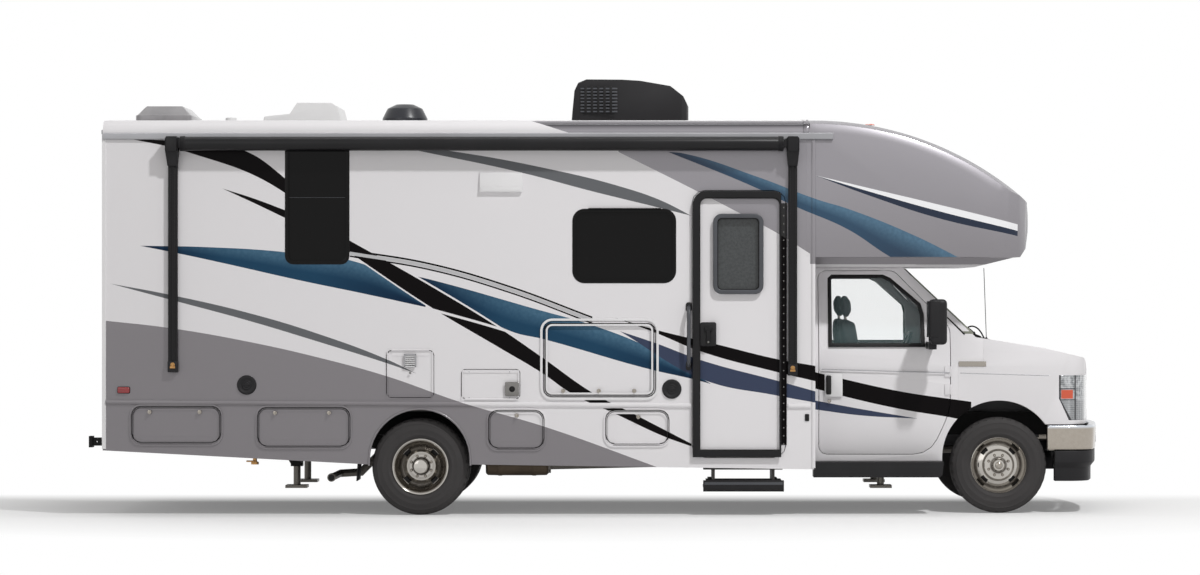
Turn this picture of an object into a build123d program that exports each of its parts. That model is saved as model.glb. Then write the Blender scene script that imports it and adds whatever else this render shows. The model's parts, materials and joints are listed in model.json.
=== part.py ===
from build123d import *
import os
from math import atan2, degrees, radians, sin, tan

# A class C motorhome: a van cab and chassis that carries a coach body with a bunk over the cab.
# Millimetres. X runs forward, Y to the left, Z up, and the ground is at Z = 0. The origin lies
# under the middle of the whole vehicle, hitch to bumper and mirror to mirror.
os.makedirs("parts", exist_ok=True)

# ------------------------------------------------------------------ driving dimensions
GAP = 5.0                # open joint round a door, lid or hatch
SEAT = 0.3               # what a hinge barrel or a laid-on piece keeps from its seat
PIN_PLAY = 0.8           # a pin or rod in its bore, on the radius

WHEELBASE = 4470.0
REAR_AXLE_X = -1294.0
FRONT_AXLE_X = REAR_AXLE_X + WHEELBASE

COACH_WIDTH = 2540.0
HALF = COACH_WIDTH / 2
WALL = 40.0
REAR_X = REAR_AXLE_X - 2432.0    # outside of the rear wall
FRONT_X = FRONT_AXLE_X - 1445.0  # front face of the coach, at the back of the cab
SEAM_X = FRONT_X - 60.0          # where the roof ends and the cap over the cab begins
BELT_Z = 850.0                   # walls above, skirts below
FLOOR_TOP = 875.0
FLOOR_THICK = 75.0
FLOOR_BOTTOM = FLOOR_TOP - FLOOR_THICK
EAVE_Z = 2930.0                  # top of the walls
SHOULDER_Z = EAVE_Z + 105.0
CROWN_Z = SHOULDER_Z + 25.0
CROWN_HALF = 500.0
EDGE_R = 95.0                    # rounded roof edge
EDGE_KNEE = 0.293                # how far in the middle of that edge lies, as on an arc
ROOF_THICK = 45.0

SKIRT_REAR_Z = 500.0
SKIRT_ARCH_Z = 392.0
SKIRT_FRONT_Z = 355.0
ARCH_R = 385.0
ARCH_Z = 430.0
DOORWAY_HALF = 420.0             # the walk-through to the cab

DOOR_X1 = FRONT_X - 214.0        # the entry door's opening
DOOR_X0 = DOOR_X1 - 725.0
DOOR_Z0, DOOR_Z1 = 442.0, 2497.0
DOOR_R = 100.0
WELL_DEPTH = 620.0               # the step well behind it
WELL_WALL = 20.0
WELL_STEP_Z = 640.0

RAIL_Y = 430.0
RAIL_WIDTH = 70.0
RAIL_BOTTOM = 590.0
RAIL_TOP = 770.0
RAIL_FRONT_X = FRONT_AXLE_X + 424.0
SILL_WIDTH = 60.0
SILL_END = HALF - 90.0

CAP_THICK = 40.0
CAP_BOTTOM = 1983.0
CAP_R = 2500.0                   # the long curve from the roof down to the nose
CAP_NOSE = (                     # its nose, as X ahead of the front axle and Z
    (208.0, 2385.0), (226.0, 2240.0), (194.0, 2050.0), (145.0, CAP_BOTTOM))
CAP_CORNER_R = 300.0
SOFFIT_Z = 1910.0
SOFFIT_HALF = 800.0
SOFFIT_WIDE = 1000.0             # half width of the soffit's part over the cab's doors

CAB_WIDTH = 2014.0
CAB_HALF = CAB_WIDTH / 2
CAB_SKIN = 60.0
CAB_ROOF_HALF = 800.0
CAB_ROOF_FLAT = 160.0            # from the roof's edge in to its flat middle
CAB_ROOF_EDGE_Z = 1925.0
CAB_FRONT_X = FRONT_AXLE_X + 789.0
CAB_CORNER_R = 190.0
NOSE_PLAN = ((100.0, 2.0), (350.0, 32.0), (700.0, 80.0))  # half width, and how far back the nose lies
NOSE_CORNER = 140.0              # how far back its corner lies
CAB_BELT_Z = 1200.0
ROCKER_Z = 376.0
CAB_BASE_Z = ROCKER_Z - 100.0    # the cab's form is drawn down to this and cut off above
CAB_FLOOR_Z = 772.0
CAB_FLOOR_THICK = 40.0
SCREEN_TOP = (FRONT_AXLE_X - 746.0, 1917.0)
COWL = (FRONT_AXLE_X - 176.0, 1365.0)
HOOD_REAR_X = COWL[0] + 60.0
HOOD_HALF = 780.0
HOOD_TAPER = 60.0                # how much narrower the hood is in front
HOOD_THICK = 30.0
HOOD_FRONT_Z = 1085.0
FIREWALL_X = FRONT_AXLE_X - 276.0
FIREWALL_THICK = 40.0
FENDER_BOTTOM = 690.0
FENDER_REAR_X = FRONT_AXLE_X - 319.0   # fenders ahead of this, below the cowl
COWL_SPLIT_Z = 1150.0
FRONT_ARCH_R = 440.0
FRONT_ARCH_Z = 435.0
GRILLE_HALF = 560.0
GRILLE_Z0, GRILLE_Z1 = 760.0, 1045.0
GRILLE_FRAME = 25.0
GRILLE_BARS = 5
GRILLE_BAR = 16.0
LAMP_THICK = 18.0

SEAT_Y = 480.0                   # middle of each front seat, and of the steering wheel
WHEEL_HUB_X = FRONT_AXLE_X - 636.0
WHEEL_HUB_Z = 1208.0
COLUMN_RUN = 220.0               # the steering column's length forward and its drop
COLUMN_RISE = 88.0
COLUMN_R = 28.0
STEERING_WHEEL_R = 195.0
STEERING_RIM = 28.0

TYRE_R = 372.0
TYRE_WIDTH = 223.0
RIM_R = 203.0
RIM_WALL = 14.0
RIM_HALF = 85.0
FRONT_TRACK_Y = 881.0
DUAL_OUTER_Y = 1125.0
DUAL_INNER_Y = 855.0
STEER_Y = 800.0                  # the king pin, inside the wheel
KNUCKLE_R = 32.0
KING_PIN_R = 14.0
KNUCKLE_HALF = 72.0
YOKE_THICK = 24.0
YOKE_REACH = 32.0
SPINDLE_R = 26.0
BEAM_HALF = 40.0
AXLE_TUBE_R = 60.0
DIFF_R = 145.0
SHAFT_R = 42.0
SPRING_HALF = 700.0
SPRING_THICK = 55.0

GEARBOX_X0 = FRONT_AXLE_X - 876.0
GEARBOX_Z = 560.0
ENGINE = (FRONT_AXLE_X - 216.0, FRONT_AXLE_X + 384.0, 300.0, 560.0, 1120.0)  # x0, x1, half, z0, z1
EXHAUST_Y = -590.0
TAIL_PIPE_Y = -1130.0            # the tail pipe's end, under the right skirt
MUFFLER_R = 55.0
MUFFLER_Z = 350.0
PIPE_R = 30.0

BUMPER_X = CAB_FRONT_X + 65.0
BUMPER_HALF = CAB_HALF + 12.0
BUMPER_BACK_X = CAB_FRONT_X - 425.0
BUMPER_PLAN = ((150.0, 0.0), (400.0, 28.0), (690.0, 65.0))  # half width, and how far back it lies
BUMPER_CORNER = 125.0
BUMPER_TOP = 685.0
BUMPER_BOTTOM = 487.0
BUMPER_THICK = 60.0
VALANCE_Z = 345.0
LIP_Z = 250.0
HITCH_X = REAR_X - 304.0
HITCH_Z = 515.0
SOCKET = 51.0                    # square socket of the receiver
RECEIVER = 64.0
COLLAR = 90.0
PIN_BORE_R = 8.0
PIN_BACK = 60.0                  # the pin's bore behind the mouth

JACK_FRONT_X = FRONT_AXLE_X - 883.0
JACK_REAR_X = REAR_AXLE_X - 1026.0
JACK_BODY_R = 46.0
JACK_ROD_R = 28.0
JACK_BODY_BOTTOM = 340.0
JACK_FOOT_R = 85.0
JACK_FOOT_Z = 170.0
JACK_FOOT_THICK = 22.0

STEP_X0, STEP_X1 = DOOR_X0 + 88.0, DOOR_X1 - 17.0
STEP_Z0, STEP_Z1 = 184.0, 270.0
STEP_BAR = 40.0                  # the tread's and the runners' height
STEP_TREAD = 250.0
RUNNER_IN = 40.0                 # from the step's end to its runner
RUNNER_WIDE = 30.0
RUNNER_LONG = 540.0
BOARD_OUT = 1200.0               # the running boards' outer edge

MIRROR_Y = 1420.0                # the outermost point of the vehicle on each side
BARREL_R = 7.0                   # hinge barrels of the doors
BARREL_SIDES = 8
STRAP = 3.0
STRAP_REACH = 45.0
CORNER_FLATS = 3                 # flats that round the corner of a door, a hatch or a pane


# ------------------------------------------------------------------ helpers
def box(x0, x1, y0, y1, z0, z1):
    """A block between two corners."""
    return Pos((x0 + x1) / 2, (y0 + y1) / 2, (z0 + z1) / 2) * Box(x1 - x0, y1 - y0, z1 - z0)


def in_flats(corners, flats):
    """An outline's points, each rounded corner cut in flats between points on its arc."""
    points = []
    for index, corner in enumerate(corners):
        if len(corner) < 3:
            points.append(corner)
            continue
        here = Vector(*corner[:2])
        back = (Vector(*corners[index - 1][:2]) - here).normalized()
        onward = (Vector(*corners[(index + 1) % len(corners)][:2]) - here).normalized()
        half = radians(back.get_angle(onward) / 2)
        centre = here + (back + onward).normalized() * (corner[2] / sin(half))
        first = here + back * (corner[2] / tan(half)) - centre
        last = here + onward * (corner[2] / tan(half)) - centre
        turn = radians(first.get_angle(last))
        for step in range(flats + 1):
            share = step / flats
            point = centre + first * (sin((1 - share) * turn) / sin(turn))
            point += last * (sin(share * turn) / sin(turn))
            points.append((point.X, point.Y))
    return points


def outline(*corners, flats=0):
    """A closed outline; a corner is (u, v) or (u, v, radius), rounded on its arc or in flats."""
    if flats:
        return make_face(Polyline(*in_flats(corners, flats), close=True))
    points = [corner[:2] for corner in corners]
    radii = [corner[2] if len(corner) > 2 else 0 for corner in corners]
    return make_face(FilletPolyline(*points, radius=radii, close=True))


def panel(u0, u1, v0, v1, radius):
    """A rectangle between two corners, its own corners rounded in flats."""
    return outline((u0, v0, radius), (u1, v0, radius), (u1, v1, radius), (u0, v1, radius), flats=CORNER_FLATS)


def ahead(*points):
    """Points of a side outline whose X is given ahead of the front axle."""
    return [(FRONT_AXLE_X + point[0],) + tuple(point[1:]) for point in points]


def bay_x(share):
    """An X between the rear axle and the entry door, as a share of that run."""
    return REAR_AXLE_X + share * (DOOR_X0 - REAR_AXLE_X)


def across(sketch, y0, y1):
    """A side outline (X, Z) carried across from y0 to y1."""
    plane = Plane(origin=(0, y1, 0), x_dir=(1, 0, 0), z_dir=(0, -1, 0))
    return extrude(plane * sketch, amount=y1 - y0)


def along(sketch, x0, x1):
    """A front outline (Y, Z) carried along from x0 to x1."""
    plane = Plane(origin=(x0, 0, 0), x_dir=(0, 1, 0), z_dir=(1, 0, 0))
    return extrude(plane * sketch, amount=x1 - x0)


def upward(sketch, z0, z1):
    """A plan outline (X, Y) carried up from z0 to z1."""
    return extrude(Plane.XY.offset(z0) * sketch, amount=z1 - z0)


def rod(start, end, radius):
    """A round bar between two points."""
    run = Vector(*end) - Vector(*start)
    return extrude(Plane(origin=start, z_dir=run) * Circle(radius), amount=run.length)


def bar(start, end, radius, sides):
    """A bar with flat sides between two points, its flats as far out as a round bar's skin."""
    run = Vector(*end) - Vector(*start)
    section = RegularPolygon(radius, sides, major_radius=False)
    return extrude(Plane(origin=start, z_dir=run) * section, amount=run.length)


def turned(profile, x, z):
    """A profile of (radius, y) pairs turned about the crosswise axle at x, z."""
    face = make_face(Polyline(*[(x + r, y) for r, y in profile], close=True))
    face = Plane.XY.offset(z) * face
    return revolve(face, axis=Axis((x, 0, z), (0, 1, 0)))


def other_side(shape):
    """The same piece on the other side of the vehicle."""
    return mirror(shape, about=Plane.XZ)


def both_sides(shape):
    """A piece and its mirror image."""
    return shape + other_side(shape)


# ------------------------------------------------------------------ openings in the coach
# name, x0, x1, z0, z1, corner radius
WINDOWS_RIGHT = (
    ("rear_bedroom", REAR_AXLE_X - 1024.0, REAR_AXLE_X - 549.0, 1937.0, 2860.0, 60.0),
    ("galley", bay_x(0.5642), bay_x(0.9358), 1792.0, 2344.0, 85.0),
)
WINDOWS_LEFT = (
    ("bedroom", REAR_AXLE_X - 1306.0, REAR_AXLE_X - 531.0, 1792.0, 2344.0, 85.0),
    ("dinette", FRONT_X - 1431.0, FRONT_X - 571.0, 1792.0, 2344.0, 85.0),
)
REAR_WINDOW = (-450.0, 450.0, 1740.0, 2200.0, 85.0)
NOSE_WINDOW = (-520.0, 520.0, 2085.0, 2215.0, 40.0)
PANE = 12.0
PANE_SET = 10.0          # how far a pane lies back from the wall's face

# name, side (-1 right, +1 left), x0, x1, z0, z1, corner radius, hinge edge
COMPARTMENTS = (
    ("storage_door_large", -1, bay_x(0.454), bay_x(0.8677), 910.0, 1477.0, 60.0, "top"),
    ("service_hatch_upper", -1, REAR_AXLE_X - 257.0, REAR_AXLE_X + 111.0, 902.0, 1270.0, 40.0, "top"),
    ("service_hatch_lower", -1, bay_x(0.1524), bay_x(0.3696), 894.0, 1124.0, 30.0, "bottom"),
    ("baggage_door_r1", -1, REAR_X + 219.0, REAR_X + 909.0, 560.0, 840.0, 70.0, "bottom"),
    ("baggage_door_r2", -1, REAR_AXLE_X - 1247.0, REAR_AXLE_X - 533.0, 532.0, 832.0, 70.0, "bottom"),
    ("baggage_door_r3", -1, bay_x(0.2517), bay_x(0.4578), 518.0, 810.0, 70.0, "bottom"),
    ("baggage_door_r4", -1, bay_x(0.6817), bay_x(0.9171), 549.0, 810.0, 70.0, "bottom"),
    ("baggage_door_l1", 1, REAR_X + 219.0, REAR_X + 909.0, 560.0, 840.0, 70.0, "bottom"),
)
BOX_WALL = 8.0
BOX_DEPTH = 520.0
HATCH_DEPTH = 260.0
DOOR_WINDOW = (DOOR_X0 + 165.0, DOOR_X0 + 548.0, 1700.0, 2313.0, 60.0)


def compartment_outline(row, grow=0.0):
    """The outline of a compartment's opening, or of its door where grow is negative."""
    name, side, x0, x1, z0, z1, radius, hinge = row
    return panel(x0 - grow, x1 + grow, z0 - grow, z1 + grow, radius)


def cut_compartments(plate, side, y0, y1):
    """Cuts each compartment's opening that this plate meets."""
    for row in COMPARTMENTS:
        if row[1] == side:
            plate -= across(compartment_outline(row), y0 - 1, y1 + 1)
    return plate


def entry_opening():
    """The hole for the entry door through the wall and the skirt."""
    sketch = panel(DOOR_X0, DOOR_X1, DOOR_Z0, DOOR_Z1, DOOR_R)
    return across(sketch, -HALF - 1, -HALF + WALL + 1)


# ------------------------------------------------------------------ coach body
def coach_side(side):
    """One side wall, belt to eave, notched where the cap over the cab begins."""
    sketch = outline(
        (REAR_X, BELT_Z), (FRONT_X, BELT_Z), (FRONT_X, CAP_BOTTOM),
        (SEAM_X, CAP_BOTTOM), (SEAM_X, EAVE_Z), (REAR_X, EAVE_Z))
    inner, outer = sorted((side * (HALF - WALL), side * HALF))
    plate = across(sketch, inner, outer)
    for name, x0, x1, z0, z1, radius in WINDOWS_RIGHT if side < 0 else WINDOWS_LEFT:
        plate -= across(panel(x0, x1, z0, z1, radius), inner - 1, outer + 1)
    plate = cut_compartments(plate, side, inner, outer)
    return plate - entry_opening() if side < 0 else plate


def skirt(side):
    """The plate below the belt, with its wheel arch and its baggage openings."""
    arch_rear = REAR_AXLE_X - ARCH_R
    arch_front = REAR_AXLE_X + ARCH_R
    sketch = outline(
        (REAR_X, SKIRT_REAR_Z), (arch_rear, SKIRT_ARCH_Z), (arch_front, SKIRT_ARCH_Z),
        (FRONT_X, SKIRT_FRONT_Z), (FRONT_X, BELT_Z), (REAR_X, BELT_Z))
    inner, outer = sorted((side * (HALF - WALL), side * HALF))
    plate = across(sketch, inner, outer)
    arch = Pos(REAR_AXLE_X, ARCH_Z) * Circle(ARCH_R)
    arch += Pos(REAR_AXLE_X, ARCH_Z - ARCH_R / 2) * Rectangle(2 * ARCH_R, ARCH_R)
    plate -= across(arch, inner - 1, outer + 1)
    plate = cut_compartments(plate, side, inner, outer)
    return plate - entry_opening() if side < 0 else plate


def roof_edge(inset):
    """The roof's section from its right edge over the crown: a two-facet edge outside, a plain one inside."""
    half = HALF - inset
    top = SHOULDER_Z - inset
    cut = EDGE_R - inset
    if inset == 0:
        knee = EDGE_KNEE * EDGE_R
        right = ((half, top - cut), (half - knee, top - knee), (half - cut, top), (CROWN_HALF, CROWN_Z))
    else:
        right = ((half, top - cut), (half - cut, top))
    return right + tuple((-y, z) for y, z in reversed(right))


def roof_outline(inset):
    """The outside of the roof's section, or its inside where it is inset, above the eave."""
    half = HALF - inset
    return ((-half, EAVE_Z), (half, EAVE_Z)) + roof_edge(inset)


def coach_roof():
    """A crowned roof whose rounded edges come down onto the walls."""
    inner = roof_outline(ROOF_THICK)
    hollow = outline(*inner) + Pos(0, EAVE_Z) * Rectangle(2 * (HALF - ROOF_THICK), 2)
    shell = along(outline(*roof_outline(0)), REAR_X, SEAM_X)
    return shell - along(hollow, REAR_X - 1, SEAM_X + 1)


def coach_rear_wall():
    """The rear wall, from the skirt's bottom up to the inside of the roof."""
    half = HALF - WALL
    wall = along(Pos(0, (SKIRT_REAR_Z + EAVE_Z) / 2) * Rectangle(2 * half, EAVE_Z - SKIRT_REAR_Z),
                 REAR_X, REAR_X + WALL)
    wall += along(outline(*roof_outline(ROOF_THICK)), REAR_X, REAR_X + WALL)
    y0, y1, z0, z1, radius = REAR_WINDOW
    wall -= along(panel(y0, y1, z0, z1, radius), REAR_X - 1, REAR_X + WALL + 1)
    slot = COLLAR / 2 + 25
    wall -= box(REAR_X - 1, REAR_X + WALL + 1, -slot, slot, SKIRT_REAR_Z - 1, HITCH_Z + slot)
    return wall


def coach_front_wall():
    """The bulkhead behind the cab, open for the walk-through and for the frame rails."""
    half = HALF - WALL
    x0 = FRONT_X - WALL
    wall = box(x0, FRONT_X, -half, half, SKIRT_FRONT_Z, CAP_BOTTOM)
    wall -= box(x0 - 1, FRONT_X + 1, -DOORWAY_HALF, DOORWAY_HALF, FLOOR_TOP, CAP_BOTTOM + 1)
    clear = -EXHAUST_Y + 50
    wall -= box(x0 - 1, FRONT_X + 1, -clear, clear, SKIRT_FRONT_Z - 1, FLOOR_BOTTOM)
    return wall


def coach_floor():
    """The floor with the entry's step well let into its right edge."""
    half = HALF - WALL
    floor = box(REAR_X + WALL, FRONT_X - WALL, -half, half, FLOOR_BOTTOM, FLOOR_TOP)
    floor -= box(DOOR_X0, DOOR_X1, -half - 1, -half + WELL_DEPTH, FLOOR_BOTTOM - 1, FLOOR_TOP + 1)
    well = box(DOOR_X0 - WELL_WALL, DOOR_X1 + WELL_WALL, -half, -half + WELL_DEPTH + WELL_WALL,
               DOOR_Z0, FLOOR_BOTTOM)
    well -= box(DOOR_X0, DOOR_X1, -half - 1, -half + WELL_DEPTH, DOOR_Z0 + WELL_WALL, FLOOR_BOTTOM + 1)
    step = box(DOOR_X0, DOOR_X1, -half + WELL_DEPTH / 2, -half + WELL_DEPTH,
               WELL_STEP_Z, WELL_STEP_Z + WELL_WALL)
    riser = box(DOOR_X0, DOOR_X1, -half + WELL_DEPTH / 2, -half + WELL_DEPTH / 2 + WELL_WALL,
                DOOR_Z0 + WELL_WALL, WELL_STEP_Z)
    floor = floor + well + step + riser
    for x in step_carriers():
        floor += box(x, x + WELL_WALL, -half, -half + WELL_DEPTH - 80,
                     STEP_Z1 - STEP_BAR + GAP, DOOR_Z0)
    return floor


def baggage_boxes():
    """Open trays behind the baggage doors, hung from the floor, and liners behind the hatches."""
    trays = []
    for name, side, x0, x1, z0, z1, radius, hinge in COMPARTMENTS:
        low = z0 < BELT_Z
        top = FLOOR_BOTTOM if low else z1 + BOX_WALL + GAP
        bottom = z0 - BOX_WALL - GAP
        outer = HALF - WALL
        inner = outer - (HATCH_DEPTH if name.startswith("service") else BOX_DEPTH)
        if not low:
            bottom = max(bottom, FLOOR_TOP)
        left, right = x0 - BOX_WALL, x1 + BOX_WALL
        y0, y1 = sorted((side * inner, side * outer))
        tray = box(left, right, y0, y1, bottom, top)
        roof = top + 1 if low else top - BOX_WALL
        cut0, cut1 = sorted((side * (inner + BOX_WALL), side * (outer + 1)))
        tray -= box(x0, x1, cut0, cut1, bottom + BOX_WALL, roof)
        trays.append(tray)
    return Compound(children=trays)


def coach_windows():
    """The coach's fixed panes, each filling its opening."""
    panes = []
    for side, rows in ((-1, WINDOWS_RIGHT), (1, WINDOWS_LEFT)):
        face = side * (HALF - PANE_SET)
        y0, y1 = sorted((face, face - side * PANE))
        for name, x0, x1, z0, z1, radius in rows:
            panes.append(across(panel(x0, x1, z0, z1, radius), y0, y1))
    y0, y1, z0, z1, radius = REAR_WINDOW
    panes.append(along(panel(y0, y1, z0, z1, radius), REAR_X + PANE_SET, REAR_X + PANE_SET + PANE))
    glass = cap_form(PANE_SET) - cap_form(PANE_SET + PANE)
    panes.append(glass & nose_window_prism())
    return Compound(children=panes)


# ------------------------------------------------------------------ cap over the cab
def cap_form(inset):
    """The outer form of the cap, or that form drawn in by a wall's thickness."""
    half = HALF - inset
    section = outline((-half, CAP_BOTTOM - 400), (half, CAP_BOTTOM - 400), *roof_edge(inset))
    curve_z = CROWN_Z - CAP_R
    plane = Plane(origin=(FRONT_X, 0, 0), x_dir=(0, 1, 0), z_dir=(1, 0, 0))
    bend = revolve(plane * section, axis=Axis((FRONT_X, 0, curve_z), (0, 1, 0)), revolution_arc=60)
    form = along(section, SEAM_X, FRONT_X) + bend
    nose = ahead(*[(x - inset, max(z, CAP_BOTTOM + inset)) for x, z in CAP_NOSE])
    side = outline((SEAM_X, CAP_BOTTOM + inset), (SEAM_X, CROWN_Z + 10), (nose[0][0], CROWN_Z + 10), *nose)
    front = FRONT_AXLE_X + CAP_NOSE[1][0] - inset
    plan = outline((SEAM_X, -half), (front, -half, CAP_CORNER_R - inset),
                   (front, half, CAP_CORNER_R - inset), (SEAM_X, half), flats=1 if inset else 6)
    return form & across(side, -half, half) & upward(plan, CAP_BOTTOM - 10, CROWN_Z + 10)


def nose_window_prism():
    """The window in the cap's nose, carried along."""
    y0, y1, z0, z1, radius = NOSE_WINDOW
    front = FRONT_AXLE_X + CAP_NOSE[1][0]
    return along(panel(y0, y1, z0, z1, radius), front - 4 * CAP_THICK, front + 10)


def cabover_cap():
    """The bunk's shell over the cab, open to the coach behind, with its soffit below."""
    hollow = cap_form(CAP_THICK)
    shell = cap_form(0) - hollow - nose_window_prism()
    centre = outline(*ahead((-826, CAP_BOTTOM), (-766, SOFFIT_Z), (-171, SOFFIT_Z), (129, CAP_BOTTOM)))
    wide = outline((FRONT_X, CAP_BOTTOM), (FRONT_X, SOFFIT_Z), *ahead((-776, SOFFIT_Z), (-263, CAP_BOTTOM)))
    belly = across(centre, -SOFFIT_HALF, SOFFIT_HALF) + across(wide, -SOFFIT_WIDE, SOFFIT_WIDE)
    return shell + (belly - cab_form(0))


# ------------------------------------------------------------------ cab
def nose_plan(half, front, corners, setback, radius, back_x):
    """A plan outline whose front bows back from the middle and rounds its corners."""
    right = [(back_x, half), (front - setback, half, radius)]
    right += [(front - back, y) for y, back in reversed(corners)]
    return right + [(x, -y) + tuple(rest) for x, y, *rest in reversed(right)]


def cab_form(inset):
    """The van cab's outer form, or that form drawn in by its skin, with cut corners inside."""
    side = outline(
        (FRONT_X - 100, CAB_BASE_Z), (CAB_FRONT_X - inset, CAB_BASE_Z),
        (CAB_FRONT_X - inset, 1075 - inset, 80), (CAB_FRONT_X - 115 - inset, 1205 - inset),
        (CAB_FRONT_X - 442 - inset / 2, 1281 - inset), (COWL[0] - inset / 3, COWL[1] - inset),
        (SCREEN_TOP[0] - inset, SCREEN_TOP[1] - inset * 0.8),
        (SCREEN_TOP[0] - 90 - inset, CAP_BOTTOM - inset), (FRONT_X - 100, CAP_BOTTOM - inset),
        flats=1 if inset else 3)
    half = CAB_HALF - inset
    roof = CAB_ROOF_HALF - inset
    right = (
        (half - 30, CAB_BASE_Z), (half, 720), (half, CAB_BELT_Z - 60), (half - 9, CAB_BELT_Z + 60),
        (roof + 7, CAB_ROOF_EDGE_Z - inset - 25), (roof - 24, CAB_ROOF_EDGE_Z - inset + 9),
        (roof - CAB_ROOF_FLAT, CAP_BOTTOM - inset))
    section = outline(*right, *[(-y, z) for y, z in reversed(right)])
    plan = outline(*nose_plan(half, CAB_FRONT_X - inset, NOSE_PLAN, NOSE_CORNER, CAB_CORNER_R - inset,
                              FRONT_X - 100), flats=1 if inset else 6)
    form = across(side, -half, half) & along(section, FRONT_X - 100, CAB_FRONT_X)
    return form & upward(plan, CAB_BASE_Z, CAP_BOTTOM + 10)


CAB_DOOR = ahead(
    (-1394, 460, 60), (-536, 460, 200), (-379, 800, 500), (-379, 1440, 120),
    (-806, 1880, 90), (-1394, 1880, 60))
CAB_WINDOW = ahead(
    (-1306, 1305, 30), (-588, 1305, 30), (-601, 1600, 60), (-886, 1838, 80), (-1306, 1838, 40))
CAB_GLASS = 10.0
CAB_GLASS_SET = 12.0
CAB_DOOR_INNER = 560.0   # the door's cutter reaches in to this


def cab_door_prism(grow):
    """The right cab door's outline carried across, outer skin to inner, grown all round."""
    sketch = outline(*CAB_DOOR, flats=CORNER_FLATS)
    if grow:
        sketch = offset(sketch, amount=grow, kind=Kind.INTERSECTION)
    return across(sketch, -CAB_HALF - 20, -CAB_DOOR_INNER)


def cab_window_prism():
    """The right cab door's window carried across."""
    return across(outline(*CAB_WINDOW, flats=CORNER_FLATS), -CAB_HALF - 20, -CAB_DOOR_INNER)


def cab_skin():
    """The cab's skin: outer form less inner, open below and at the back."""
    skin = cab_form(0) - cab_form(CAB_SKIN)
    return skin - box(FRONT_X - 101, FRONT_X, -HALF, HALF, 0, CROWN_Z)


def cab_shell(skin):
    """Roof, pillars, rockers and floor of the cab, up to the firewall."""
    shell = skin & box(FRONT_X, HOOD_REAR_X - GAP, -HALF, HALF, ROCKER_Z, CAP_BOTTOM)
    shell -= box(FENDER_REAR_X, HOOD_REAR_X + 1, -HALF, HALF, 0, COWL_SPLIT_Z)
    shell -= front_arch()
    opening = cab_door_prism(GAP)
    shell = shell - opening - other_side(opening) - screen_prism()
    inner = CAB_HALF - CAB_SKIN
    floor = box(FRONT_X, FIREWALL_X, -inner, inner, CAB_FLOOR_Z, CAB_FLOOR_Z + CAB_FLOOR_THICK)
    wall = box(FIREWALL_X, FIREWALL_X + FIREWALL_THICK, -inner, inner, CAB_FLOOR_Z, COWL[1] - CAB_SKIN)
    return shell + (floor & cab_form(CAB_SKIN)) + (wall & cab_form(CAB_SKIN))


SCREEN_TOP_HALF = 660.0
SCREEN_BOTTOM_HALF = 830.0
SCREEN_MARGIN = 45.0     # from the screen's edge to the roof and to the cowl, along the slope
SCREEN_GLASS = 8.0
SCREEN_GLASS_SET = 6.0


def screen_plane():
    """The windscreen's plane: its origin at the cowl, its Y up the slope."""
    rise = Vector(SCREEN_TOP[0] - COWL[0], 0, SCREEN_TOP[1] - COWL[1])
    normal = Vector(0, 1, 0).cross(rise)
    return Plane(origin=(COWL[0], 0, COWL[1]), x_dir=(0, 1, 0), z_dir=normal), rise.length


def screen_outline():
    """The windscreen's outline in its own plane."""
    plane, length = screen_plane()
    return outline(
        (-SCREEN_BOTTOM_HALF, SCREEN_MARGIN, 60), (SCREEN_BOTTOM_HALF, SCREEN_MARGIN, 60),
        (SCREEN_TOP_HALF, length - SCREEN_MARGIN, 80), (-SCREEN_TOP_HALF, length - SCREEN_MARGIN, 80),
        flats=CORNER_FLATS)


def screen_prism(near=-140.0, far=60.0):
    """The windscreen's outline carried square to the glass, outward positive."""
    plane, length = screen_plane()
    return extrude(plane.offset(near) * screen_outline(), amount=far - near)


def windshield():
    """The windscreen's pane, set in a little from the pillars' faces."""
    return screen_prism(-SCREEN_GLASS_SET - SCREEN_GLASS, -SCREEN_GLASS_SET)


def hood_outline(grow):
    """The hood's plan: a little narrower in front, its nose rounded."""
    rear, front, half = HOOD_REAR_X - grow, CAB_FRONT_X + 60, HOOD_HALF + grow
    return outline(
        (rear, -half, 40), (front, -half + HOOD_TAPER), (front, half - HOOD_TAPER), (rear, half, 40),
        flats=CORNER_FLATS)



def hood():
    """The hood, rear-hinged, from the cowl down to the grille's top."""
    skin = cab_form(0) - cab_form(HOOD_THICK)
    return skin & upward(hood_outline(0), HOOD_FRONT_Z, COWL[1])


def front_arch():
    """The front wheel arch, cut through both sides."""
    arch = Pos(FRONT_AXLE_X, FRONT_ARCH_Z) * Circle(FRONT_ARCH_R)
    arch += Pos(FRONT_AXLE_X, FRONT_ARCH_Z - FRONT_ARCH_R / 2) * Rectangle(2 * FRONT_ARCH_R, FRONT_ARCH_R)
    return across(arch, -HALF, HALF)


STOP_HALF = 20.0
STOP_Y = 500.0
STOP_BACK = 68.0         # behind the nose's front at its middle


def front_fenders(skin):
    """Both fenders and the nose that joins them round the grille."""
    front = skin & box(FENDER_REAR_X, CAB_FRONT_X, -HALF, HALF, ROCKER_Z, COWL[1])
    front -= box(0, HOOD_REAR_X - GAP, -HALF, HALF, COWL_SPLIT_Z, CROWN_Z)
    front -= upward(hood_outline(GAP), HOOD_FRONT_Z - GAP, COWL[1] + 10)
    front -= front_arch()
    front -= box(FRONT_AXLE_X, CAB_FRONT_X + 1, -HALF, HALF, 0, FENDER_BOTTOM)
    front -= grille_prism(0)
    for lamp in headlamps():
        front -= lamp
    stop = box(CAB_FRONT_X - STOP_BACK - 30, CAB_FRONT_X - STOP_BACK, -STOP_Y - STOP_HALF, -STOP_Y + STOP_HALF,
               GRILLE_Z1 + 10, HOOD_FRONT_Z - SEAT)
    return front + both_sides(stop)


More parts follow.
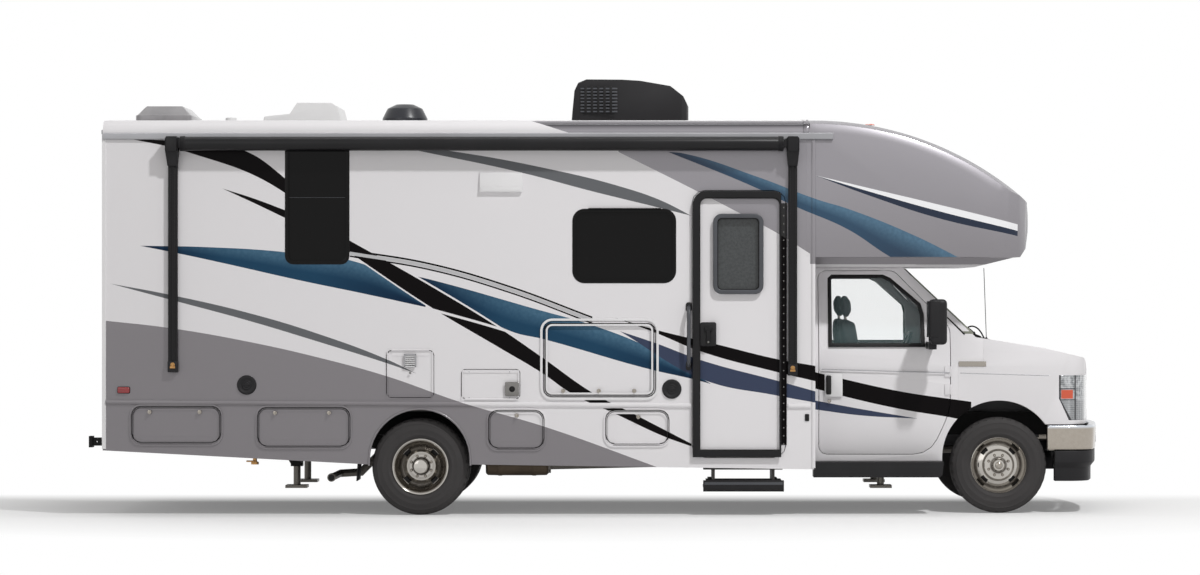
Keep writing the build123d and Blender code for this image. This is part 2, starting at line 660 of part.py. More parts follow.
def grille_prism(inset):
    """The grille's outline carried along through the nose."""
    half = GRILLE_HALF - inset
    sketch = Pos(0, (GRILLE_Z0 + GRILLE_Z1) / 2) * Rectangle(2 * half, GRILLE_Z1 - GRILLE_Z0 - 2 * inset)
    return along(sketch, CAB_FRONT_X - CAB_SKIN - 100, CAB_FRONT_X + 50)


def grille(skin):
    """A framed grille of flat bars that follows the nose, set in its opening."""
    frame = skin & (grille_prism(0) - grille_prism(GRILLE_FRAME))
    slot = (GRILLE_Z1 - GRILLE_Z0 - 2 * GRILLE_FRAME) / (GRILLE_BARS + 1)
    depth = cab_form(15) - cab_form(45)
    for index in range(GRILLE_BARS):
        z = GRILLE_Z0 + GRILLE_FRAME + slot * (index + 1)
        frame += depth & box(CAB_FRONT_X - 200, CAB_FRONT_X, -GRILLE_HALF + 20, GRILLE_HALF - 20,
                             z - GRILLE_BAR / 2, z + GRILLE_BAR / 2)
    return frame + box(CAB_FRONT_X - 45, CAB_FRONT_X - 30, -8, 8, GRILLE_Z0 + 20, GRILLE_Z1 - 20)


# ------------------------------------------------------------------ running gear
def tyre(x, y):
    """One tyre on the axle at x, its middle at y."""
    half = TYRE_WIDTH / 2
    profile = ((RIM_R, y - half), (TYRE_R, y - half), (TYRE_R, y + half), (RIM_R, y + half))
    return turned(profile, x, TYRE_R)


def disc(x, y0, y1, radius, sides=0):
    """A disc on the crosswise axle at x, round or with flat sides, from y0 to y1."""
    face = RegularPolygon(radius, sides) if sides else Circle(radius)
    return across(Pos(x, TYRE_R) * face, *sorted((y0, y1)))


def front_wheel(side):
    """A front wheel with its bulged face and its hub."""
    def reach(value):
        return side * (FRONT_TRACK_Y + value)
    wheel = disc(FRONT_AXLE_X, reach(-RIM_HALF), reach(70), RIM_R)
    wheel -= disc(FRONT_AXLE_X, reach(-RIM_HALF - 1), reach(30), RIM_R - RIM_WALL, 20)
    wheel += disc(FRONT_AXLE_X, reach(70), reach(95), 120, 20)
    return wheel + disc(FRONT_AXLE_X, reach(95), reach(109), 55, 12)


def rear_wheels(side):
    """Twin rear wheels on one hub: the outer one dished deep, the inner one plain."""
    outer, inner = side * DUAL_OUTER_Y, side * DUAL_INNER_Y
    wheel = disc(REAR_AXLE_X, inner - side * RIM_HALF, outer + side * RIM_HALF, RIM_R)
    wheel -= disc(REAR_AXLE_X, outer - side * 30, outer + side * (RIM_HALF + 1), 170, 20)
    return wheel + disc(REAR_AXLE_X, outer - side * 30, outer + side * 40, 75, 12)


def knuckle(side):
    """A post on its king pin that carries the wheel's spindle."""
    centre = (FRONT_AXLE_X, side * STEER_Y)
    low = TYRE_R - KNUCKLE_HALF
    high = TYRE_R + KNUCKLE_HALF
    pin_reach = YOKE_THICK + PIN_PLAY
    post = upward(Pos(*centre) * RegularPolygon(KNUCKLE_R, 8), low, high)
    pin = rod((*centre, low - pin_reach), (*centre, high + pin_reach), KING_PIN_R)
    tip = side * (FRONT_TRACK_Y + 30 - SEAT)
    spindle = disc(FRONT_AXLE_X, side * STEER_Y, tip, SPINDLE_R, 12)
    return post + pin + spindle


def front_axle():
    """A beam with a yoke at each end for the knuckle, and its coil towers to the rails."""
    low = TYRE_R - KNUCKLE_HALF - PIN_PLAY
    high = TYRE_R + KNUCKLE_HALF + PIN_PLAY
    x0, x1 = FRONT_AXLE_X - 35, FRONT_AXLE_X + 35
    beam = box(x0, x1, -STEER_Y + 70, STEER_Y - 70, TYRE_R - BEAM_HALF, TYRE_R + BEAM_HALF)
    for side in (-1, 1):
        inner, outer = sorted((side * (STEER_Y - 70), side * (STEER_Y - 42)))
        beam += box(x0, x1, inner, outer, low - YOKE_THICK, high + YOKE_THICK)
        inner, outer = sorted((side * (STEER_Y - 70), side * (STEER_Y + YOKE_REACH)))
        for z in (low - YOKE_THICK, high):
            beam += box(x0, x1, inner, outer, z, z + YOKE_THICK)
        eye = (FRONT_AXLE_X, side * STEER_Y)
        beam -= rod((*eye, low - YOKE_THICK), (*eye, high + YOKE_THICK), KING_PIN_R + PIN_PLAY)
        coil = Pos(FRONT_AXLE_X, side * RAIL_Y) * RegularPolygon(60, 8)
        beam += upward(coil, TYRE_R + BEAM_HALF, RAIL_BOTTOM)
    return beam


def rear_axle():
    """Axle tube and differential, the leaf springs that carry the rails, and the drive shaft."""
    end = DUAL_INNER_Y - 85 - SEAT
    axle = disc(REAR_AXLE_X, -end, end, AXLE_TUBE_R, 12)
    axle += bar((REAR_AXLE_X - 150, 0, TYRE_R), (REAR_AXLE_X + 150, 0, TYRE_R), DIFF_R, 12)
    top = TYRE_R + AXLE_TUBE_R
    leaf = outline(
        (REAR_AXLE_X - SPRING_HALF, RAIL_BOTTOM), (REAR_AXLE_X - SPRING_HALF, RAIL_BOTTOM - 45),
        (REAR_AXLE_X - 120, top - 10), (REAR_AXLE_X + 120, top - 10),
        (REAR_AXLE_X + SPRING_HALF, RAIL_BOTTOM - 45), (REAR_AXLE_X + SPRING_HALF, RAIL_BOTTOM),
        (REAR_AXLE_X + SPRING_HALF - 60, RAIL_BOTTOM), (REAR_AXLE_X + 110, top + SPRING_THICK),
        (REAR_AXLE_X - 110, top + SPRING_THICK), (REAR_AXLE_X - SPRING_HALF + 60, RAIL_BOTTOM))
    axle += both_sides(across(leaf, RAIL_Y - 35, RAIL_Y + 35))
    shaft_end = (GEARBOX_X0 - 5, 0, GEARBOX_Z)
    return axle + bar((REAR_AXLE_X + 140, 0, TYRE_R + 10), shaft_end, SHAFT_R, 8)



def engine_block():
    """The engine as one plain block, with its gearbox behind it and its mounts on the rails."""
    x0, x1, half, z0, z1 = ENGINE
    block = box(x0, x1, -half, half, z0, z1)
    block += box(GEARBOX_X0, x0, -130, 130, GEARBOX_Z - 80, GEARBOX_Z + 120)
    mount = box(x0 + 100, x0 + 260, -RAIL_Y + RAIL_WIDTH / 2, RAIL_Y - RAIL_WIDTH / 2,
                RAIL_BOTTOM + 40, RAIL_BOTTOM + 110)
    return block + mount


# ------------------------------------------------------------------ chassis
CROSSMEMBERS = (
    REAR_X + 526, REAR_AXLE_X - 656, bay_x(0.39), bay_x(0.956), FRONT_AXLE_X - 1226, RAIL_FRONT_X - 20)
BODY_SILLS = (
    REAR_X + 126, REAR_AXLE_X - 1386, REAR_AXLE_X - 431,
    bay_x(0.2176), bay_x(0.5724), bay_x(0.956), FRONT_X - 111)


def chassis_frame():
    """Two rails with crossmembers, body sills on top and the jacks' housings below."""
    half = RAIL_WIDTH / 2
    inner = RAIL_Y - half
    frame = box(REAR_X + WALL + 20, RAIL_FRONT_X, inner, RAIL_Y + half, RAIL_BOTTOM, RAIL_TOP)
    frame += other_side(frame)
    for x in CROSSMEMBERS:
        frame += box(x - 20, x + 20, -inner, inner, RAIL_BOTTOM + 40, RAIL_TOP - 20)
    for x in BODY_SILLS:
        frame += box(x - SILL_WIDTH / 2, x + SILL_WIDTH / 2, -SILL_END, SILL_END,
                     RAIL_TOP, FLOOR_BOTTOM)
    for x in (JACK_FRONT_X, JACK_REAR_X):
        for y in (-RAIL_Y, RAIL_Y):
            frame += box(x - JACK_BODY_R, x + JACK_BODY_R, y - JACK_BODY_R, y + JACK_BODY_R,
                         JACK_BODY_BOTTOM, RAIL_BOTTOM)
            frame -= bar((x, y, JACK_BODY_BOTTOM - 1), (x, y, RAIL_BOTTOM - 15), JACK_ROD_R + PIN_PLAY, 8)
    beam = box(REAR_X + 100, REAR_X + 180, -RAIL_Y - half, RAIL_Y + half, HITCH_Z - RECEIVER / 2,
               RAIL_BOTTOM)
    horns = both_sides(box(RAIL_FRONT_X, BUMPER_X, inner, RAIL_Y + half, 600, 680))
    horns = horns & upward(bumper_plan(BUMPER_THICK), 600, 680)
    cab_mounts = both_sides(box(FRONT_X + 29, FRONT_X + 109, inner, RAIL_Y + half, RAIL_TOP, CAB_FLOOR_Z))
    return frame + beam + horns + cab_mounts


def hitch_receiver():
    """A square receiver tube with its collar and the cross bore for its pin."""
    half, collar = RECEIVER / 2, COLLAR / 2
    z0, z1 = HITCH_Z - half, HITCH_Z + half
    tube = box(HITCH_X, REAR_X + 100, -half, half, z0, z1)
    tube += box(HITCH_X, HITCH_X + 30, -collar, collar, HITCH_Z - collar, HITCH_Z + collar)
    hole = SOCKET / 2
    tube -= box(HITCH_X - 1, REAR_X + 60, -hole, hole, HITCH_Z - hole, HITCH_Z + hole)
    x = HITCH_X + PIN_BACK
    return tube - rod((x, -collar, HITCH_Z), (x, collar, HITCH_Z), PIN_BORE_R)


def jack_legs(x):
    """A pair of jack rods with their feet."""
    legs = []
    for y in (-RAIL_Y, RAIL_Y):
        leg = rod((x, y, JACK_FOOT_Z), (x, y, RAIL_BOTTOM - 40), JACK_ROD_R)
        leg += box(x - JACK_FOOT_R, x + JACK_FOOT_R, y - JACK_FOOT_R, y + JACK_FOOT_R,
                   JACK_FOOT_Z, JACK_FOOT_Z + JACK_FOOT_THICK)
        legs.append(leg)
    return Compound(children=legs)


# name, x0, x1, y0, y1, z0, z1
TANKS = (
    ("fuel", REAR_AXLE_X - 1606.0, REAR_AXLE_X - 756.0, -360.0, 360.0, 440.0, RAIL_TOP),
    ("waste_rear", bay_x(0.2464), bay_x(0.5436), 480.0, HALF - 120.0, 540.0, FLOOR_BOTTOM),
    ("waste_front", bay_x(0.6012), bay_x(0.9271), 480.0, HALF - 120.0, 540.0, FLOOR_BOTTOM),
    ("battery_tray", FRONT_X - 931.0, FRONT_X - 431.0, 560.0, HALF - 170.0, 560.0, FLOOR_BOTTOM),
)


def underfloor_tanks():
    """The fuel tank between the rails and the coach's tanks under its floor."""
    tanks = []
    for name, x0, x1, y0, y1, z0, z1 in TANKS:
        tanks.append(box(x0, x1, y0, y1, z0, z1))
    return Compound(children=tanks)


def exhaust_system():
    """Pipe, muffler and tail pipe, over the rear axle."""
    x0, x1 = REAR_AXLE_X + 517, REAR_AXLE_X + 986
    start = (ENGINE[0] + 60, -230)
    route = (
        (*start, ENGINE[3] - SEAT), (*start, 470), (FRONT_AXLE_X - 1026, -230, 440),
        (FRONT_AXLE_X - 1536, EXHAUST_Y, 395), (x1 - 20, EXHAUST_Y, MUFFLER_Z))
    tail = (
        (x0 + 20, EXHAUST_Y, MUFFLER_Z), (REAR_AXLE_X + 274, EXHAUST_Y, 500),
        (REAR_AXLE_X - 306, EXHAUST_Y, 500), (REAR_AXLE_X - 506, EXHAUST_Y, 300),
        (REAR_AXLE_X - 670, EXHAUST_Y, 290),
        (REAR_AXLE_X - 690, TAIL_PIPE_Y, 285))
    pipe = bar((x0, EXHAUST_Y, MUFFLER_Z), (x1, EXHAUST_Y, MUFFLER_Z), MUFFLER_R, 12)
    for points in (route, tail):
        begin = Vector(*points[0])
        section = Plane(origin=begin, z_dir=Vector(*points[1]) - begin) * RegularPolygon(PIPE_R, 8)
        pipe += sweep(section, path=Polyline(*points), transition=Transition.RIGHT)
    hanger = box(x0 + 200, x0 + 230, EXHAUST_Y - 12, -RAIL_Y - RAIL_WIDTH / 2, MUFFLER_Z + 20, RAIL_TOP - 60)
    return pipe + hanger


# ------------------------------------------------------------------ doors
def hinge_barrel(start, end):
    """An eight-sided hinge knuckle."""
    run = Vector(*end) - Vector(*start)
    face = Plane(origin=start, z_dir=run) * RegularPolygon(BARREL_R, BARREL_SIDES)
    return extrude(face, amount=run.length)


def compartment_door(row):
    """A flush door with a hinge barrel laid on the wall along one edge."""
    name, side, x0, x1, z0, z1, radius, hinge = row
    y0, y1 = sorted((side * (HALF - WALL), side * HALF))
    leaf = across(compartment_outline(row, -GAP), y0, y1)
    barrel_y = side * (HALF + BARREL_R + SEAT)
    z, inward = (z1, -1) if hinge == "top" else (z0, 1)
    ends = (x0 + radius, x1 - radius)
    barrel = hinge_barrel((ends[0], barrel_y, z), (ends[1], barrel_y, z))
    s0, s1 = sorted((side * HALF, side * (HALF + STRAP)))
    w0, w1 = sorted((z + inward * (BARREL_R - 3), z + inward * STRAP_REACH))
    return leaf + barrel + box(*ends, s0, s1, w0, w1)


def entry_door():
    """The entry door with its window cut, hinged along its front edge."""
    sketch = panel(DOOR_X0 + GAP, DOOR_X1 - GAP, DOOR_Z0 + GAP, DOOR_Z1 - GAP, DOOR_R - GAP)
    x0, x1, z0, z1, radius = DOOR_WINDOW
    sketch -= panel(x0, x1, z0, z1, radius)
    leaf = across(sketch, -HALF, -HALF + WALL)
    y = -HALF - BARREL_R - SEAT
    ends = (DOOR_Z0 + DOOR_R, DOOR_Z1 - DOOR_R)
    barrel = hinge_barrel((DOOR_X1, y, ends[0]), (DOOR_X1, y, ends[1]))
    strap = box(DOOR_X1 - STRAP_REACH, DOOR_X1 - BARREL_R + 3, -HALF - STRAP, -HALF, *ends)
    latch = box(DOOR_X0 + 60, DOOR_X0 + 150, -HALF - 22, -HALF, 1290, 1480)
    return leaf + barrel + strap + latch


def entry_door_window():
    x0, x1, z0, z1, radius = DOOR_WINDOW
    face = -HALF + PANE_SET
    return across(panel(x0, x1, z0, z1, radius), face, face + PANE)


CAB_HINGES = ((920.0, 1000.0), (1060.0, 1140.0))
CAB_BARREL_Y = -CAB_HALF - BARREL_R - SEAT


def cab_door_right(skin):
    """A cab door cut from the cab's skin, with its window cut and its hinges in front."""
    leaf = skin & cab_door_prism(0)
    leaf -= cab_window_prism()
    x = CAB_DOOR[3][0] + GAP / 2
    for z0, z1 in CAB_HINGES:
        leaf += hinge_barrel((x, CAB_BARREL_Y, z0), (x, CAB_BARREL_Y, z1))
        leaf += box(x - STRAP_REACH, x - BARREL_R + 3, CAB_BARREL_Y - 2, -CAB_HALF + 20, z0, z1)
    return leaf


def cab_door_glass_right():
    glass = cab_form(CAB_GLASS_SET) - cab_form(CAB_GLASS_SET + CAB_GLASS)
    return glass & cab_window_prism()


MIRROR_X = (FRONT_AXLE_X - 598.0, FRONT_AXLE_X - 449.0)
MIRROR_Z = (1368.0, 1645.0)
MIRROR_INNER_Y = 1180.0
MIRROR_ARM_Z = (1275.0, 1330.0)


def mirror_right():
    """A tall mirror head on an arm from the door's front corner."""
    x0, x1 = MIRROR_X
    z0, z1 = MIRROR_Z
    head = upward(panel(x0 + 20, x1 - 20, -MIRROR_Y, -MIRROR_INNER_Y, 40), z0, z1)
    arm = box(x0 + 30, x1 - 60, -MIRROR_Y + 90, -CAB_HALF + CAB_SKIN, *MIRROR_ARM_Z)
    neck = box(x0 + 40, x1 - 70, -MIRROR_Y + 90, -MIRROR_Y + 150, MIRROR_ARM_Z[1], z0)
    return head + (arm - cab_form(0)) + neck


# ------------------------------------------------------------------ body fittings
AWNING_OUT = 75.0        # the roll's middle out from the wall
AWNING_Z = 2850.0
AWNING_R = 54.0
AWNING_HEAD = (2790.0, 2905.0)
# x0, x1, bottom of each arm
AWNING_ARMS = ((REAR_X + 502.0, REAR_X + 582.0, 1100.0), (FRONT_X - 203.0, FRONT_X - 127.0, 1075.0))


def awning():
    """The rolled awning in its case, with the two arms folded down the wall."""
    y = -HALF - AWNING_OUT
    ends = (AWNING_ARMS[0][1] + 28, AWNING_ARMS[1][0] - 34)
    case = rod((ends[0], y, AWNING_Z), (ends[1], y, AWNING_Z), AWNING_R)
    case += box(AWNING_ARMS[0][1] - 6, AWNING_ARMS[1][0] + 2, y - 30, y + 30, AWNING_Z - 30, AWNING_Z + 30)
    for x0, x1, z0 in AWNING_ARMS:
        case += box(x0 + 4, x1 - 4, -HALF - 34, -HALF, z0, AWNING_HEAD[0] + 10)
        case += box(x0, x1, y - 50, -HALF, *AWNING_HEAD)
    return case


AC = (FRONT_X - 1885.0, FRONT_X - 954.0, 365.0, CROWN_Z + 342.0)   # x0, x1, half width, top
AC_FINS = 9


def air_conditioner():
    """The roof air conditioner: rounded shroud in front, louvred coil cover at the back."""
    x0, x1, half, top = AC
    side = outline(
        (x0, CROWN_Z), (x1, CROWN_Z), (x1, top - 209), (x1 - 41, top - 128), (x1 - 145, top - 48),
        (x1 - 386, top - 8), (x0 + 400, top), (x0 + 120, top), (x0 + 55, top - 28), (x0 + 25, top - 90))
    plan = outline((x0, -half, 60), (x1, -half + 90, 120), (x1, half - 90, 120), (x0, half, 60),
                   flats=CORNER_FLATS)
    shroud = across(side, -half, half) & upward(plan, CROWN_Z, top + 10)
    fins_x0, fins_x1 = x0 + 90, x0 + 380
    pitch = (fins_x1 - fins_x0) / AC_FINS
    for index in range(AC_FINS):
        x = fins_x0 + pitch * index
        for face in (-1, 1):
            y0, y1 = sorted((face * (half - 12), face * (half + 1)))
            shroud -= box(x, x + pitch * 0.55, y0, y1, CROWN_Z + 70, top - 110)
    return shroud


def dome(x, y, radius, sides, *rings):
    """A domed cover on the roof, its rings given as radius and height above the roof."""
    lower, cover = (radius, 0), None
    for upper in rings:
        taper = degrees(atan2(lower[0] - upper[0], upper[1] - lower[1]))
        face = RegularPolygon(lower[0], sides, major_radius=False)
        face = Plane.XY.offset(CROWN_Z + lower[1]) * Pos(x, y) * face
        piece = extrude(face, amount=upper[1] - lower[1], taper=taper)
        cover = piece if cover is None else cover + piece
        lower = upper
    return cover


def roof_vents():
    """Skylight, plumbing cap, the wedge-shaped fan vent and the domed antenna."""
    x0, x1, half = REAR_X + 110, REAR_X + 560, 350
    sky = upward(panel(x0, x1, -half, half, 60), CROWN_Z, CROWN_Z + 60)
    sky += extrude(
        Plane.XY.offset(CROWN_Z + 60) * panel(x0 + 10, x1 - 10, -half + 10, half - 10, 55), amount=74, taper=45)
    x = REAR_X + 869
    cap = bar((x, -300, CROWN_Z), (x, -300, CROWN_Z + 40), 44, 12)
    x = REAR_X + 1122
    wedge = across(outline(
        (x, CROWN_Z), (x + 627, CROWN_Z), (x + 594, CROWN_Z + 130), (x + 544, CROWN_Z + 158),
        (x + 274, CROWN_Z + 158), (x + 214, CROWN_Z + 70), (x + 14, CROWN_Z + 50)), -330, 330)
    antenna = dome(REAR_X + 2211, 250, 180, 20, (180, 60), (140, 140), (70, 174))
    return Compound(children=[sky, cap, wedge, antenna])


def bumper_plan(inset):
    """The bumper seen from above: bowed in front, wrapped round both corners."""
    return outline(*nose_plan(
        BUMPER_HALF - inset, BUMPER_X - inset, BUMPER_PLAN, BUMPER_CORNER, 180 - inset, BUMPER_BACK_X),
        flats=2 if inset else 6)


def front_bumper():
    """The bumper bar wrapped round the corners, and the valance and lip below it."""
    def ring(outer, inner, z0, z1, back):
        hollow = bumper_plan(inner) + Pos(BUMPER_BACK_X, 0) * Rectangle(20, 2 * (BUMPER_HALF - inner))
        behind = box(0, BUMPER_BACK_X + back, -HALF, HALF, 0, z1 + 1)
        return upward(bumper_plan(outer) - hollow, z0, z1) - behind
    return (ring(0, BUMPER_THICK, BUMPER_BOTTOM, BUMPER_TOP, 0)
            + ring(15, 75, VALANCE_Z, BUMPER_BOTTOM, 80) + ring(50, 90, LIP_Z, VALANCE_Z, 80))


def running_boards():
    """A board below each cab door, on brackets from the frame."""
    x0, x1 = FRONT_X, FRONT_AXLE_X - 444
    inner = CAB_HALF - 12
    rail = -RAIL_Y - RAIL_WIDTH / 2
    board = across(outline((x0, 289), (x1 - 30, 289), (x1 - 10, 310), (x1, 408), (x0, 408)), -BOARD_OUT, -inner)
    for x in (FRONT_X + 169, x1 - 132):
        board += box(x - 25, x + 25, -inner, rail, 330, 370)
        board += box(x - 25, x + 25, rail - 30, rail, 330, 700)
    return both_sides(board)


def step_carriers():
    """Where the plates stand between which the step's runners slide."""
    inset = RUNNER_IN + RUNNER_WIDE + SEAT
    return STEP_X0 + inset, STEP_X1 - inset - WELL_WALL


def entry_step():
    """The step, pushed in under the skirt, that slides out on two runners."""
    tread = box(STEP_X0, STEP_X1, -HALF, -HALF + WALL - GAP, STEP_Z1 - STEP_BAR, STEP_Z1)
    tread += box(STEP_X0, STEP_X1, -HALF, -HALF + STEP_TREAD, STEP_Z1 - STEP_BAR - 20, STEP_Z1 - STEP_BAR)
    lip = box(STEP_X0, STEP_X1, -HALF, -HALF + 20, STEP_Z0, STEP_Z1)
    for x in (STEP_X0 + RUNNER_IN, STEP_X1 - RUNNER_IN - RUNNER_WIDE):
        lip += box(x, x + RUNNER_WIDE, -HALF + 20, -HALF + 20 + RUNNER_LONG, STEP_Z1 - STEP_BAR, STEP_Z1)
    return tread + lip


HEADLAMP = (
    (CAB_FRONT_X - 325, 890), (CAB_FRONT_X - 248, 722), (CAB_FRONT_X + 30, 722),
    (CAB_FRONT_X + 30, 1070), (CAB_FRONT_X - 325, 1070))
# tail lamps on each side of the rear wall: bottom, top
TAIL_LAMPS = ((960.0, 1130.0), (1150.0, 1280.0))


def headlamps():
    """Both headlamps, let into the fenders' front corners, the lower rear corner of each cut."""
    skin = cab_form(0) - cab_form(LAMP_THICK)
    lamp = skin & across(outline(*HEADLAMP), -HALF, -GRILLE_HALF - 30)
    return [lamp, other_side(lamp)]


def lamps():
    """Headlamps at the front corners and tail lamps on the rear wall."""
    pieces = headlamps()
    for y in (220.0 - HALF, HALF - 220.0):
        for z0, z1 in TAIL_LAMPS:
            pieces.append(box(REAR_X - LAMP_THICK, REAR_X, y - 60, y + 60, z0, z1))
    return Compound(children=[solid for piece in pieces for solid in piece.solids()])


def cab_seats():
    """Two seats on pedestals: base, cushion and a back with its head rest."""
    side = outline(*ahead(
        (-1276, 900), (-796, 900), (-756, 1060, 60), (-1136, 1030, 60),
        (-1246, 1480), (-1276, 1690, 40), (-1376, 1690, 40), (-1346, 1000)), flats=CORNER_FLATS)
    seat = across(side, -SEAT_Y - 250, -SEAT_Y + 250)
    seat += box(FRONT_AXLE_X - 1216, FRONT_AXLE_X - 876, -SEAT_Y - 200, -SEAT_Y + 200,
                CAB_FLOOR_Z + CAB_FLOOR_THICK, 905)
    return both_sides(seat)


def dashboard():
    """The dashboard across the firewall, with the steering column and its wheel."""
    side = outline(
        (FIREWALL_X - 200, 1000), (FIREWALL_X, 1000), (FIREWALL_X, 1290), (FIREWALL_X - 100, 1290, 60),
        (FIREWALL_X - 220, 1200, 40), flats=CORNER_FLATS)
    board = across(side, -880, 880)
    hub = Vector(WHEEL_HUB_X, SEAT_Y, WHEEL_HUB_Z)
    axis = Vector(-COLUMN_RUN, 0, COLUMN_RISE)
    board += bar(hub - axis, hub, COLUMN_R, 8)
    plane = Plane(origin=hub, z_dir=axis)
    rim_inner = STEERING_WHEEL_R - STEERING_RIM
    ring = RegularPolygon(STEERING_WHEEL_R, 20) - RegularPolygon(rim_inner, 20)
    ring = extrude(plane * ring, amount=STEERING_RIM)
    spokes = extrude(plane * (Rectangle(2 * rim_inner + STEERING_RIM / 2, 40) + Rectangle(110, 110)), amount=20)
    return board + ring + spokes


# ------------------------------------------------------------------ assembly
def build():
    """Every node of the motorhome, by name."""
    skin = cab_skin()
    nodes = {
        "chassis_frame": chassis_frame(),
        "hitch_receiver": hitch_receiver(),
        "engine_block": engine_block(),
        "underfloor_tanks": underfloor_tanks(),
        "exhaust_system": exhaust_system(),
        "rear_axle": rear_axle(),
        "front_axle": front_axle(),
        "coach_floor": coach_floor(),
        "coach_side_right": coach_side(-1),
        "coach_side_left": coach_side(1),
        "skirt_right": skirt(-1),
        "skirt_left": skirt(1),
        "coach_rear_wall": coach_rear_wall(),
        "coach_front_wall": coach_front_wall(),
        "coach_roof": coach_roof(),
        "cabover_cap": cabover_cap(),
        "coach_windows": coach_windows(),
        "awning": awning(),
        "air_conditioner": air_conditioner(),
        "roof_vents": roof_vents(),
        "baggage_boxes": baggage_boxes(),
        "cab_shell": cab_shell(skin),
        "front_fenders": front_fenders(skin),
        "windshield": windshield(),
        "grille": grille(skin),
        "lamps": lamps(),
        "front_bumper": front_bumper(),
        "running_boards": running_boards(),
        "cab_seats": cab_seats(),
        "dashboard": dashboard(),
        "hood": hood(),
        "entry_door": entry_door(),
        "entry_door_window": entry_door_window(),
        "entry_step": entry_step(),
        "jack_legs_front": jack_legs(JACK_FRONT_X),
        "jack_legs_rear": jack_legs(JACK_REAR_X),
    }
    for row in COMPARTMENTS:
        nodes[row[0]] = compartment_door(row)
    right = {"cab_door": cab_door_right(skin), "cab_door_glass": cab_door_glass_right(),
             "mirror": mirror_right()}
    for name, shape in right.items():
        nodes[name + "_right"] = shape
        nodes[name + "_left"] = other_side(shape)
    for side, word in ((-1, "right"), (1, "left")):
        front = side * FRONT_TRACK_Y
        nodes["knuckle_" + word] = knuckle(side)
        nodes["front_wheel_" + word] = front_wheel(side)
        nodes["front_tyre_" + word] = tyre(FRONT_AXLE_X, front)
        nodes["rear_wheels_" + word] = rear_wheels(side)
        nodes["rear_tyres_" + word] = Compound(children=[
            tyre(REAR_AXLE_X, side * y) for y in (DUAL_INNER_Y, DUAL_OUTER_Y)])
    return nodes


for node, shape in build().items():
    export_step(shape, f"parts/{node}.step")
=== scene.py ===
# %% [markdown]
# A motorhome, dressed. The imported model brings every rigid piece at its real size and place: the coach
# body, the van cab, the doors, the wheels and the chassis. This script adds what a model of plain solids
# lacks: paint with its stripes, glass, chrome, tyre tread, seals, latches, lamps and trim. Each step says
# what the piece is on the real vehicle and why it is made the way it is.

# %% Load the frame
import bpy
import json
from math import atan2, cos, degrees, hypot, pi, radians, sin
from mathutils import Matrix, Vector


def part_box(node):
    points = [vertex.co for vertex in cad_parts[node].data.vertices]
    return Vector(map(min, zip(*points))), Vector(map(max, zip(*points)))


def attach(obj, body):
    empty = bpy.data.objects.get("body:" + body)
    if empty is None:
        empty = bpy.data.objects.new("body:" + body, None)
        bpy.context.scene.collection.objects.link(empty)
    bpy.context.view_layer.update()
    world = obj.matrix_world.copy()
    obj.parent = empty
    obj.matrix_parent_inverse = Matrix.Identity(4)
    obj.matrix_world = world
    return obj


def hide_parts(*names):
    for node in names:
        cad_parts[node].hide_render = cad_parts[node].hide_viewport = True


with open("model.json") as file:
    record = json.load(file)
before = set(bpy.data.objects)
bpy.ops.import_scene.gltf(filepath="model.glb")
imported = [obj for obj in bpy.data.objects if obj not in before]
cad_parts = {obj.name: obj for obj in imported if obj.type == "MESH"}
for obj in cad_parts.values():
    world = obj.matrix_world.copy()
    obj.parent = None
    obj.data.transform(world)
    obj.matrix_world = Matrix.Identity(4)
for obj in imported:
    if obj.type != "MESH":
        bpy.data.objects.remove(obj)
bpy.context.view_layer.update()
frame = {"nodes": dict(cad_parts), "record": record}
nodes = frame["nodes"]
print("pieces in the frame:", len(nodes))

# %% [markdown]
# The camera stands about 27 m from the right side, as tall as a person's eyes, with a long lens, so the
# side looks almost flat. A small shift slides the frame without turning the camera, so uprights stay
# upright and the vehicle fills the frame.

# %% Camera
CAMERA_AT = (0.512, -28.27, 1.70)
LENS, FILM = 105.6, 36.0                 # millimetres
SHIFT_X, SHIFT_Y = -0.046, 0.0054        # shares of the frame's width
FAR = 400                                # metres, past which nothing is drawn
bpy.ops.object.camera_add(location=CAMERA_AT, rotation=(pi / 2, 0, 0))
camera = bpy.context.object
camera.data.lens = LENS
camera.data.sensor_width = FILM
camera.data.shift_x = SHIFT_X
camera.data.shift_y = SHIFT_Y
camera.data.clip_end = FAR
bpy.context.scene.camera = camera
bpy.context.scene.view_settings.view_transform = "Standard"
print("camera at", CAMERA_AT, "with a lens of", LENS, "mm")

# %% [markdown]
# A shader is written here as arithmetic. A Field stands for one number or colour that changes over a
# surface, and its operators add Math nodes. Shader holds one material, or the world, while it is built.


# %% Shader arithmetic
class Field:
    """A number that changes over a surface: one socket, with arithmetic that adds Math nodes."""

    def __init__(self, shader, socket):
        self.shader = shader
        self.socket = socket

    def math(self, operation, *others):
        """A Math node on this value and the others."""
        return self.shader.node("ShaderNodeMath", {"operation": operation}, {
            index: value for index, value in enumerate((self,) + others)})

    def __add__(self, other):
        return self.math("ADD", other)

    def __sub__(self, other):
        return self.math("SUBTRACT", other)

    def __rsub__(self, other):
        return (self * -1).math("ADD", other)

    def __mul__(self, other):
        return self.math("MULTIPLY", other)

    def __truediv__(self, other):
        return self.math("DIVIDE", other)

    __radd__ = __add__
    __rmul__ = __mul__

    def above(self, other):
        """1 where this is above the other, and 0 elsewhere."""
        return self.math("GREATER_THAN", other)

    def below(self, other):
        """1 where this is below the other, and 0 elsewhere."""
        return self.math("LESS_THAN", other)

    def either(self, other):
        """The larger of two masks."""
        return self.math("MAXIMUM", other)

    def size(self):
        """The value without its sign."""
        return self.math("ABSOLUTE")

    def ramp(self, low, high):
        """0 at low, 1 at high, straight between and held outside."""
        return self.shader.node("ShaderNodeMapRange", {"clamp": True}, {0: self, 1: low, 2: high})


